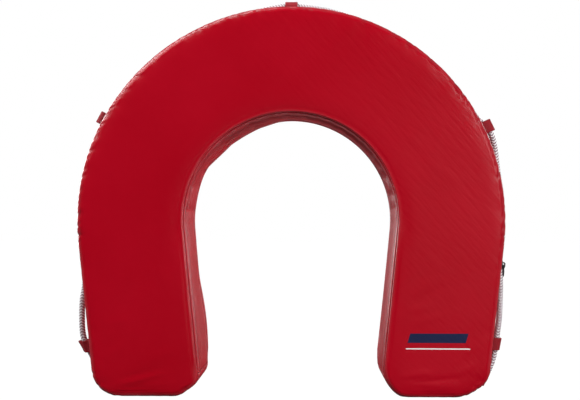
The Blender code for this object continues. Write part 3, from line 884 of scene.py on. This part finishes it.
def scatter_puckers(name, spacing, depth, reach, middle=0.0):
    """Short folds across the band: their place, width, depth, half length, slant and distance in."""
    at, end = part_range(name)
    at += spacing * DICE.random()
    folds = []
    while at < end:
        strength = DICE.uniform(*PUCKER_STRENGTH) ** 1.3
        fold = {"at": at, "width": DICE.uniform(*PUCKER_WIDTH), "depth": depth * strength}
        fold.update(reach=reach * (0.55 + 0.6 * strength), middle=middle)
        fold["slant"] = DICE.uniform(*PUCKER_SLANT) + PUCKER_LEAN * middle
        folds.append(fold)
        at += spacing * DICE.uniform(*PUCKER_STEP)
    return folds


def make_puckers():
    """Puckers by seam. The outer seams gather, above all round the arc and the corners."""
    puckers = {}
    for seam in ("front", "back"):
        folds = scatter_puckers("outer_arc", 0.0086, 0.0005, 0.0070)
        for part, spacing, depth, reach in (
            ("outer_leg", 0.015, 0.0005, 0.009),
            ("outer_corner", 0.009, 0.0010, 0.017),
            ("foot", 0.020, 0.0004, 0.009),
            ("inner_corner", 0.008, 0.0009, 0.010),
            ("inner_leg", 0.024, 0.0004, 0.008),
        ):
            for side in ("left", "right"):
                folds += scatter_puckers(f"{side}_{part}", spacing, depth, reach)
        folds += scatter_puckers("inner_arc", 0.021, 0.0002, 0.009)
        folds += scatter_puckers("outer_arc", 0.0080, 0.0015, 0.0078, 0.0108)
        ends = part_range("left_outer_leg")[1] + TUG_SHIFT, part_range("right_outer_leg")[0] - TUG_SHIFT
        for at in ends:
            tug = {"at": at, "width": 0.0013, "depth": 0.0011, "reach": 0.022, "middle": 0, "slant": 0}
            folds.append(tug)
        puckers[seam] = folds
    return puckers


PUCKERS = make_puckers()


def pucker_depth(s, q, seam):
    """Depth of a seam's folds at places s by rows q."""
    away = FRONT_SEAM - q if seam == "front" else q - BACK_SEAM
    depth = np.zeros((len(q), len(s)))
    for fold in PUCKERS[seam]:
        near = np.abs(s - fold["at"]) < PUCKER_REACH
        if not near.any():
            continue
        inwards = away - fold["middle"]
        reach = np.where(away > 0, fold["reach"], 0.5 * fold["reach"])
        fade = np.clip(1 - (inwards / reach) ** 2, 0, 1)
        width = fold["width"] * (1 + PUCKER_WIDENING * np.abs(away))
        centre = fold["at"] + fold["slant"] * inwards
        across = (s[near] - centre[:, None]) / width[:, None]
        depth[:, near] += fold["depth"] * fade[:, None] * np.exp(-(across**2))
    return depth


FACE_CREASES = [
    # x, z of one end, x, z of the other, width, height
    (0.168, 0.138, 0.200, 0.168, 0.0030, 0.00104),
    (0.172, 0.128, 0.212, 0.160, 0.0026, -0.00085),
    (0.160, 0.118, 0.196, 0.130, 0.0030, 0.00076),
    (0.165, 0.100, 0.215, 0.118, 0.0036, 0.00067),
    (0.150, 0.030, 0.200, 0.038, 0.0030, 0.00085),
    (0.170, 0.022, 0.235, 0.030, 0.0030, -0.00076),
    (0.225, 0.030, 0.258, 0.052, 0.0034, 0.00085),
    (0.240, 0.060, 0.268, 0.085, 0.0030, 0.00057),
    (-0.232, 0.018, -0.168, 0.036, 0.0026, 0.00104),
    (-0.240, 0.024, -0.172, 0.043, 0.0026, -0.00076),
    (-0.200, 0.050, -0.160, 0.066, 0.0036, 0.00057),
    (-0.258, 0.050, -0.230, 0.075, 0.0034, 0.00067),
    (-0.255, 0.100, -0.215, 0.110, 0.0050, 0.00047),
    (-0.165, 0.150, -0.190, 0.185, 0.0050, 0.00047),
    (0.006, 0.432, 0.020, 0.433, 0.0018, 0.00057),
    (0.205, 0.330, 0.150, 0.372, 0.0050, 0.00047),
    (0.236, 0.292, 0.180, 0.335, 0.0045, 0.00047),
]


def crease_height(a, b, creases):
    """Soft ridges along short lines, in any two flat coordinates."""
    height = np.zeros(np.shape(a))
    for a0, b0, a1, b1, width, rise in creases:
        da, db = a1 - a0, b1 - b0
        length = hypot(da, db)
        along = ((a - a0) * da + (b - b0) * db) / length**2
        away = ((a - a0) * db - (b - b0) * da) / length
        fade = np.clip(1 - (2 * along - 1) ** 2, 0, 1)
        height += rise * fade * ridge(away, width)
    return height


def share_between(s, start, end):
    """One between two places, easing to nothing at both."""
    return np.clip(np.minimum(s - start, end - s) / EASE, 0, 1)


def inner_share(s):
    """One along the inner legs and arc."""
    return share_between(s, part_range("right_inner_leg")[0], part_range("left_inner_leg")[1])


def foot_share(s):
    """One round the right foot and its corners."""
    return share_between(s, part_range("right_outer_corner")[0], part_range("right_inner_corner")[1])


def ridge(distance, width):
    """A rounded crest, 1 on its line and dying out over its width."""
    return np.exp(-((distance / width) ** 2))


def rim_groove(s, to_seam):
    """The shallow channel that the seam pulls into the rim: inner side and right foot."""
    shares = (inner_share(s), foot_share(s))
    return sum(
        depth * share * ridge(to_seam[:, None] - at, width)
        for share, (depth, at, width) in zip(shares, (INNER_GROOVE, FOOT_GROOVE))
    )


def sharp_fold(s, to_face):
    """How far the rim fills out to a tight fold along the inner side."""
    turn = np.clip(to_face / RIM, 0, pi / 2)
    square = (np.cos(turn) ** FOLD_POWER + np.sin(turn) ** FOLD_POWER) ** (-1 / FOLD_POWER)
    return RIM * (square - 1)[:, None] * inner_share(s)


def foam_hollow(s, q):
    """The long dip of the inner gusset between the front sheet of foam and the next."""
    start, length, _ = OUTLINE["inner_arc"]
    round_arc = np.sin(pi * np.clip((s - start) / length, 0, 1))
    centre = FRONT_SEAM + (0.16 + 0.26 * round_arc) * (BACK_SEAM - FRONT_SEAM)
    depth = (0.0007 + 0.0025 * round_arc) * inner_share(s)
    width = 0.005 + 0.004 * round_arc
    return -depth * ridge(q[:, None] - centre, width)


def turned_edge(distance):
    """How far the cloth dips where its edge turns in to the seam."""
    share = np.clip(1 - distance / TURN, 0, 1)
    return TURN_DEPTH * (1 - np.sqrt(np.clip(1 - share**2, 0, 1)))


def rows_between(low, high, count, edges):
    """Rows from low to high, crowded at a sewn edge; each edge's first row is its flange."""
    start = low + SEAM_GAP + EDGE_STEPS if edges[0] else np.array([low])
    end = high - SEAM_GAP - EDGE_STEPS[::-1] if edges[1] else np.array([high])
    middle = np.linspace(start[-1], end[0], count + 1)[1:-1]
    flange = np.zeros(len(start) + len(middle) + len(end), bool)
    flange[0], flange[-1] = edges[0], edges[1]
    return np.concatenate([start, middle, end]), flange


# --- The cover's pieces


def flat_pattern(s, q):
    """The unrolled place of each band point in the plane of the face, for the weave."""
    base, outward = outline_at(s)
    reach = np.minimum(q, SECTION - q) - RIM
    return base[None] + outward[None] * reach[:, None, None]


def on_floor(points):
    """Keep the points from sinking into the floor that the buoy stands on."""
    points[:, 2] = np.maximum(points[:, 2], 0.0)
    return points


def make_face_panel(name, side, material, settled):
    """A face with its rolled rim, down to its seam with the gussets."""
    places, border = columns(outer=OUTER_FINENESS), face_ring(outer=OUTER_FINENESS)
    if side == 0:
        q, flange = rows_between(0, FRONT_SEAM, RIM_ROWS, (False, True))
        to_seam, row = FRONT_SEAM - q, 0
    else:
        q, flange = rows_between(BACK_SEAM, SECTION, RIM_ROWS, (True, False))
        to_seam, row = q - BACK_SEAM, len(q) - 1
    plain, normals = band_at(places, q)
    dip = turned_edge(to_seam)[:, None] + pucker_depth(places, q, ("front", "back")[side])
    dip += rim_groove(places, to_seam)
    dip[flange] = FLANGE
    rise = crease_height(plain[..., 0], plain[..., 2], FACE_CREASES) * normals[..., 1] ** 2
    rise += sharp_fold(places, FRONT_SEAM - to_seam)
    band = plain + settled.on_band(places, q) + normals * (rise - dip)[..., None]
    inner = np.zeros_like(border, bool)
    inner[1:-1, 1:-1] = True
    flat = face_points(plain[row], border)
    face = (flat + 0.5 * settled.on_face(side, border.shape))[inner]
    height = crease_height(flat[..., 0], flat[..., 2], FACE_CREASES)[inner]
    face[:, 1] += height * (-1 if side == 0 else 1)
    points = on_floor(np.concatenate([band.reshape(-1, 3), face]))
    grid = border + row * len(places)
    grid[inner] = len(q) * len(places) + np.arange(len(face))
    faces = [tuple(quad) for quad in grid_faces(len(q), len(places), closed=True)]
    faces += face_polygons(grid, row * len(places), OUTER_FINENESS, side == 0)
    uv = np.concatenate([flat_pattern(places, q).reshape(-1, 2), flat[inner][:, [0, 2]]])
    # The line along the rim's fold that is glossier and carries a painted highlight; narrower on the inner
    # side.
    fold_width = 0.0026 - 0.0014 * inner_share(places)
    rubbed_and_highlight = ridge(to_seam[:, None] - SKIRT - QUARTER / 2, fold_width)
    pad = np.zeros(len(face))
    masks = {
        # Painted shade, full where a dip is DARK_DIP deep.
        "valley_shade": np.concatenate([np.clip(dip / DARK_DIP, 0, 1).ravel(), pad]),
        # Where the painted highlight and the glossier coat go.
        "rubbed_and_highlight": np.concatenate([rubbed_and_highlight.ravel(), pad]),
    }
    add_cloth_piece(name, make_mesh(name, points, faces, uv, masks), material)


def along_inner(angle, share):
    """A place on the inner gusset: an angle seen from the front, and a share of its width."""
    return arc_place("inner_arc", angle), FRONT_SEAM + share * (BACK_SEAM - FRONT_SEAM)


INNER_CREASES = [
    (*along_inner(92, 0.50), *along_inner(132, 0.46), 0.0040, 0.0012),
    (*along_inner(100, 0.64), *along_inner(148, 0.50), 0.0044, -0.0016),
    (*along_inner(112, 0.74), *along_inner(158, 0.62), 0.0046, 0.0014),
    (*along_inner(34, 0.60), *along_inner(66, 0.54), 0.0050, 0.0007),
    (*along_inner(160, 0.60), *along_inner(186, 0.50), 0.0056, 0.0008),
]
FACETS = (94, 113, 126, 151)


def faceted(s):
    """The foam's edge shows through the stretched inner gusset as flats between a few corners."""
    flat = np.zeros(len(s))
    places = [arc_place("inner_arc", angle) for angle in FACETS]
    for start, end in zip(places, places[1:]):
        share = np.clip((s - start) / (end - start), 0, 1)
        chord = (end - start) ** 2 / 8 / INNER_RADIUS
        flat += 4 * chord * share * (1 - share)
    return flat


def make_gusset(name, start, end, low_q, high_q, steps, material, settled):
    """A strip of the band between two places and two rows, its edges turned in at the seams."""
    s, end_flange = rows_between(start, end, steps, (True, True))
    q, side_flange = rows_between(low_q, high_q, GUSSET_ROWS, (True, True))
    plain, normals = band_at(s, q)
    near_side, near_end = np.minimum(q - low_q, high_q - q), np.minimum(s - start, end - s)
    is_inner = name == "inner_gusset"
    dip = np.maximum(turned_edge(near_side)[:, None], turned_edge(near_end))
    for seam in ("front", "back"):
        dip += (INNER_PUCKERS if is_inner else GUSSET_PUCKERS) * pucker_depth(s, q, seam)
    dip[side_flange] = FLANGE
    dip[:, end_flange] = FLANGE
    rise = np.zeros_like(dip)
    if is_inner:
        rise += crease_height(*np.meshgrid(s, q), INNER_CREASES)
        rise += faceted(s) * np.clip((q - SECTION / 2) / (SECTION / 4), 0, 1)[:, None]
        rise += foam_hollow(s, q)
    points = plain + settled.on_band(s, q) + normals * (rise - dip)[..., None]
    masks = {
        # Painted shade in the seams' dips and the hollow creases.
        "valley_shade": np.clip((dip - np.minimum(rise, 0)) / DARK_DIP, 0, 1),
        # A line near each seam: painted highlight on a glossier coat.
        "rubbed_and_highlight": ridge(near_side - RUBBED_HIGHLIGHT_AT, RUBBED_HIGHLIGHT_WIDTH)[:, None] + np.zeros_like(dip),
    }
    uv = grid_uv(q, s)[:, ::-1]
    mesh = make_mesh(name, on_floor(points.reshape(-1, 3)), grid_faces(len(q), len(s)), uv, masks)
    add_cloth_piece(name, mesh, material)


ZIP_DEPTH = -0.024
ZIP_Q = QUARTER + (ZIP_DEPTH - FRONT - RIM)
ZIP_SLOT = 0.0070
TAPE_ENDS = (0.004, 0.173)
COIL_START = 0.0068
COIL_PITCH = 0.00125


def make_cover(materials, settled):
    fabric = materials["fabric"]
    make_face_panel("front_panel", 0, materials["printed_fabric"], settled)
    make_face_panel("back_panel", 1, fabric, settled)
    arc_start, arc_end = part_range("outer_arc")
    leg_end = part_range("right_outer_leg")[1]
    left_start = part_range("left_outer_leg")[0]
    inner_start, inner_end = part_range("right_inner_leg")[0], part_range("left_inner_leg")[1]
    seams = (FRONT_SEAM, BACK_SEAM)
    before_zip, behind_zip = (FRONT_SEAM, ZIP_Q - ZIP_SLOT / 2), (ZIP_Q + ZIP_SLOT / 2, BACK_SEAM)
    foot_steps, leg_steps = 4 * CORNER_STEPS + 2 * FOOT_STEPS, 2 * LEG_STEPS
    for name, start, end, rows, steps in (
        ("crown_gusset", arc_start, arc_end, seams, 3 * ARC_STEPS),
        ("left_side_gusset", left_start, arc_start, seams, leg_steps),
        ("right_side_gusset_front", arc_end, leg_end, before_zip, leg_steps),
        ("right_side_gusset_back", arc_end, leg_end, behind_zip, leg_steps),
        ("inner_gusset", inner_start, inner_end, seams, ARC_STEPS),
        ("right_foot_gusset", leg_end, inner_start, seams, foot_steps),
        ("left_foot_gusset", inner_end, left_start + PERIMETER, seams, foot_steps),
    ):
        make_gusset(name, start, end, *rows, steps, fabric, settled)


def make_foam(material):
    """Three loose sheets of foam inside the cover."""
    places, border = columns(4), face_ring(4)
    base, outward = outline_at(places)
    step = (THICKNESS - 2 * FOAM_INSET) / 3
    for index, name in enumerate(("foam_core_front", "foam_core_middle", "foam_core_back")):
        low = FRONT + FOAM_INSET + index * step + FOAM_GAP
        high = FRONT + FOAM_INSET + (index + 1) * step - FOAM_GAP
        rings = []
        for inset, depth in (
            (FOAM_ROUND, low),
            (0, low + FOAM_ROUND),
            (0, high - FOAM_ROUND),
            (FOAM_ROUND, high),
        ):
            flat = base - outward * (FOAM_INSET + inset)
            rings.append(np.stack([flat[:, 0], np.full(len(places), depth), flat[:, 1]], -1))
        mesh = make_mesh(name, *cover_mesh(np.array(rings), border))
        sheet = add_piece(name + "_sheet", mesh, material, [name])


# --- Line, beckets and tabs


BRAID_PITCH = 0.0044
BRAID_STRANDS = 6
TRACER_PITCH = 0.0041
RING_STEP = 0.0007
LINE_AROUND = 40


def braid_height(length, angle):
    """A round braid over rings and sides: its relief from 0 to 1, and where a tracer yarn shows."""
    turn = angle / (2 * pi) * BRAID_STRANDS
    along = length / BRAID_PITCH
    a, b = turn + along[:, None], turn - along[:, None]
    over = (np.floor(a) + np.floor(b)) % 2 == 0
    first, second = np.where(over, a, b) % 1, np.where(over, b, a) % 1
    across = np.sqrt(np.clip(1 - (2 * first - 1) ** 2, 0, 1))
    relief = across * (0.62 + 0.38 * np.sin(pi * second))
    slant = np.abs((angle / pi) % 1 * 2 - 1)
    row = (length[:, None] / TRACER_PITCH + 0.9 * slant) % 1
    tracer = np.clip(2.0 - 6 * np.abs(row - 0.5), 0, 1) * (0.6 + 0.4 * across)
    return relief, tracer


def make_line(material):
    knots = catmull(LINE_ROUTE, 16)
    rings = round(run_lengths(knots)[-1] / RING_STEP)
    line, length = evenly(knots, rings)
    angle = np.linspace(0, 2 * pi, LINE_AROUND, endpoint=False)
    relief, tracer = braid_height(np.linspace(0, length, rings), angle)
    radius = LINE_DIAMETER / 2 - 0.00045 + 0.00075 * relief
    # Where the braid's painted shade goes: between its strands, away from their crests.
    masks = {"valley_shade": np.clip(1 - 1.6 * relief, 0, 1), "tracer": tracer}
    mesh = tube_mesh("grab_line", line, radius, LINE_AROUND, masks)
    piece = add_piece("grab_line_braid", mesh, material, ["grab_line"])
    return line


def side_frame(x, z, angle):
    """Matrix of a strap's own frame: X along the buoy's side, Y back, Z out of the side."""
    out = Vector((cos(angle), 0, sin(angle)))
    back = Vector((0, 1, 0))
    along = back.cross(out)
    matrix = Matrix((along, back, out)).transposed().to_4x4()
    matrix.translation = (x, LINE_DEPTH, z)
    return matrix


def strap_mesh(name, path, width, matrix, crumple):
    """Webbing along a path of (depth, height), with soft edges; crumple pulls its arch askew."""
    tangent = np.gradient(path, axis=0)
    tangent /= np.linalg.norm(tangent, axis=1)[:, None]
    half, thick = width / 2, WEBBING / 2
    across = np.linspace(-half + thick, half - thick, 13)
    edge = [pi / 6 * k for k in (-2, -1, 0, 1, 2)]
    section = [(x, thick * (0.92 + 0.08 * cos(x / half * 9))) for x in across]
    section += [(half - thick + thick * cos(a), thick * sin(a)) for a in edge[::-1]]
    section += [(x, -thick) for x in across[::-1]]
    section += [(-half + thick - thick * cos(a), thick * sin(a)) for a in edge]
    sideways, up = np.array(section).T
    lengths = run_lengths(path)
    sway = 0.0002 * np.sin(lengths / 0.0047 + path[0, 0] * 900)
    rise = np.clip((path[:, 1] - 0.006) / 0.016, 0, 1)
    lean = rise[:, None] * (sideways / half)
    points = np.zeros((len(path), len(section), 3))
    points[..., 0] = sideways * (1 - 12 * crumple * rise[:, None]) + sway[:, None]
    points[..., 1] = path[:, :1] - tangent[:, 1:] * up
    points[..., 1] += 0.35 * crumple * np.sin(lengths * 700)[:, None] * lean
    points[..., 2] = path[:, 1:] + tangent[:, :1] * up
    points[..., 2] -= crumple * lean * 0.7 * np.sign(matrix[0][3])
    faces = closed_tube_faces(len(path), len(section))
    mesh = make_mesh(name, points.reshape(-1, 3), faces, grid_uv(lengths, sideways))
    mesh.transform(matrix)
    mesh.set_sharp_from_angle(angle=radians(60))
    return mesh


def arch_path(half_arch, height, foot_end):
    """A strap's middle line over the line it holds, as (depth, height)."""
    radius, middle = half_arch - WEBBING / 2, height - half_arch
    low = 0.0006 + WEBBING / 2
    foot = [(-foot_end, low), (-foot_end + 0.004, low), (-half_arch - 0.0030, low)]
    foot += [(-half_arch - 0.0009, low + 0.0009)]
    if middle > 0.010:
        foot += [(-radius, 0.0060), (-radius, 0.0100)]
    angles = [pi * (1 - i / 10) for i in range(11)]
    arch = [(radius * cos(angle), middle + radius * sin(angle)) for angle in angles]
    knots = foot + arch + [(-depth, up) for depth, up in foot[::-1]]
    return evenly(catmull([(*knot, 0) for knot in knots], 6), 72)[0][:, :2]


def thread_curve(name, radius, bevel):
    data = bpy.data.curves.new(name, "CURVE")
    data.dimensions = "3D"
    data.bevel_depth = radius
    data.bevel_resolution = bevel
    data.use_fill_caps = True
    return data


def add_spline(data, matrix, places):
    spline = data.splines.new("POLY")
    spline.points.add(len(places) - 1)
    for point, place in zip(spline.points, places):
        point.co = (*(matrix @ Vector(place)), 1)


def bar_tack(node, at, half_length, matrix, material):
    """Dense zigzag of thread across a strap's foot."""
    zigs, half_width = round(half_length * 3800), 0.0016
    places = []
    for i in range(zigs + 1):
        x = -half_length + 2 * half_length * i / zigs
        side = half_width if i % 2 else -half_width
        places.append((x, at + side, 0.0023 + 0.00012 * DICE.random()))
    data = thread_curve(node + "_thread", 0.00026, 1)
    add_spline(data, matrix, places)
    add_piece(node + "_thread", data, material, [node])


def make_straps(materials):
    half_pi = pi / 2
    ox, oz = corner_centre(OUTER_RADIUS - OUTER_CORNER, OUTER_LEAN, OUTER_CORNER)
    tab = radians(-32)
    tab_x, tab_z = ox + OUTER_CORNER * cos(tab), oz + OUTER_CORNER * sin(tab)

    def on_arc(angle):
        return OUTER_RADIUS * cos(angle), CENTRE_HEIGHT + OUTER_RADIUS * sin(angle), angle

    def on_leg(distance, side):
        x, z = leg_top(OUTER_RADIUS, OUTER_LEAN)
        angle = -OUTER_LEAN if side > 0 else pi + OUTER_LEAN
        return side * (x - distance * sin(OUTER_LEAN)), z - distance * cos(OUTER_LEAN), angle

    for name, place, height, crumple in (
        ("becket_crown", on_arc(half_pi), 0.019, 0.0),
        ("becket_upper_right", on_arc(radians(25.4)), 0.025, 0.0),
        ("becket_upper_left", on_arc(pi - radians(28.0)), 0.020, 0.0),
        ("becket_lower_right", on_leg(0.1432, 1), 0.023, 0.0010),
        ("becket_lower_left", on_leg(0.1492, -1), 0.025, 0.0050),
        ("line_tab_right", (tab_x, tab_z, tab), 0.0135, 0.0),
        ("line_tab_left", (-tab_x, tab_z, pi - tab), 0.0135, 0.0),
    ):
        matrix = side_frame(*place)
        is_tab = name.startswith("line_tab")
        half_arch, foot_end, width = (0.0068, 0.018, 0.014) if is_tab else (0.0106, 0.022, WEBBING_WIDTH)
        path = arch_path(half_arch, height, foot_end)
        mesh = strap_mesh(name, path, width, matrix, crumple)
        add_piece(name + "_webbing", mesh, materials["webbing"], [name])
        at = (foot_end + half_arch + 0.0032) / 2
        for end, sign in (("front", -1), ("back", 1)):
            node = f"{name}_stitch_{end}"
            bar_tack(node, sign * at, width / 2 - 0.0022, matrix, materials["red_thread"])


def make_whippings(line, material):
    """Turns of twine round each cut end of the line."""
    for name, ends in (("line_whipping_left", line[:9]), ("line_whipping_right", line[::-1][:9])):
        turns, steps = 9, 8
        smooth, _ = evenly(ends, turns * steps + 1)
        wave = np.abs(np.sin(np.linspace(0, turns * pi, len(smooth))))
        radius = LINE_DIAMETER / 2 + 0.00038 + 0.00040 * wave
        mesh = tube_mesh(name, smooth, radius[:, None], 28)
        add_piece(name + "_twine", mesh, material, [name])


# --- Zip


def zip_matrix():
    """The zip's frame: X down the right leg, Y back, Z out of its side."""
    x, z = leg_top(OUTER_RADIUS, OUTER_LEAN)
    down = Vector((-sin(OUTER_LEAN), 0, -cos(OUTER_LEAN)))
    out = Vector((cos(OUTER_LEAN), 0, -sin(OUTER_LEAN)))
    matrix = Matrix((down, Vector((0, 1, 0)), out)).transposed().to_4x4()
    matrix.translation = (x, ZIP_DEPTH, z)
    return matrix


def make_tape(name, side, matrix, material):
    across = np.array([0.00015, 0.002, 0.004, 0.008, 0.0118]) * side
    along = np.linspace(*TAPE_ENDS, 60)
    section = [(y, -0.0014) for y in across] + [(y, -0.0020) for y in across[::-1]]
    points = [tuple(matrix @ Vector((x, y, z))) for x in along for y, z in section]
    faces = closed_tube_faces(len(along), len(section))
    if side > 0:
        faces = [face[::-1] for face in faces]
    mesh = make_mesh(name, points, faces, [(x, y) for x in along for y, _ in section], smooth=False)
    add_piece(name + "_weave", mesh, material, [name])


def make_coil(matrix, material):
    """Both halves of the coil: flattened spirals whose loops mesh at the middle."""
    turns, steps = 131, 8
    data = thread_curve("zip_coil_spirals", 0.00030, 0)
    for side, shift in ((-1, 0.0), (1, 0.5)):
        places = []
        for i in range(turns * steps + 1):
            angle = 2 * pi * i / steps
            across, out = 0.00095 + 0.00125 * cos(angle), 0.0006 + 0.00085 * sin(angle)
            places.append((COIL_START + COIL_PITCH * (i / steps + shift), side * across, out))
        add_spline(data, matrix, places)
    add_piece("zip_coil_spirals", data, material, ["zip_coil"])


def make_zip(materials):
    matrix = zip_matrix()
    make_tape("zip_tape_front", -1, matrix, materials["zip_cloth"])
    make_tape("zip_tape_back", 1, matrix, materials["zip_cloth"])
    make_coil(matrix, materials["zip_plastic"])
    for name in ("zip_top_stop", "zip_bottom_stop", "zip_slider", "zip_pull"):
        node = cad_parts[name]
        node.data.materials.clear()
        node.data.materials.append(materials["zip_plastic"])


# --- Put together


def main():
    make_camera()
    materials = {
        "fabric": coated_fabric("coated_fabric"),
        "printed_fabric": coated_fabric("coated_fabric_printed", printed=True),
        "webbing": woven_webbing(),
        "red_thread": twisted_thread("red_thread", (0.20, 0.003, 0.008), (0.42, 0.012, 0.022)),
        "twine": twisted_thread("waxed_twine", (0.55, 0.54, 0.50), (0.80, 0.79, 0.75)),
        "braid": braided_line(),
        "zip_plastic": zip_plastic(),
        "zip_cloth": zip_cloth(),
        "foam": closed_cell_foam(),
    }
    line = make_line(materials["braid"])
    settled = Settled()
    make_cover(materials, settled)
    make_foam(materials["foam"])
    make_straps(materials)
    make_whippings(line, materials["twine"])
    make_zip(materials)
    make_stage()
    make_light()


main()
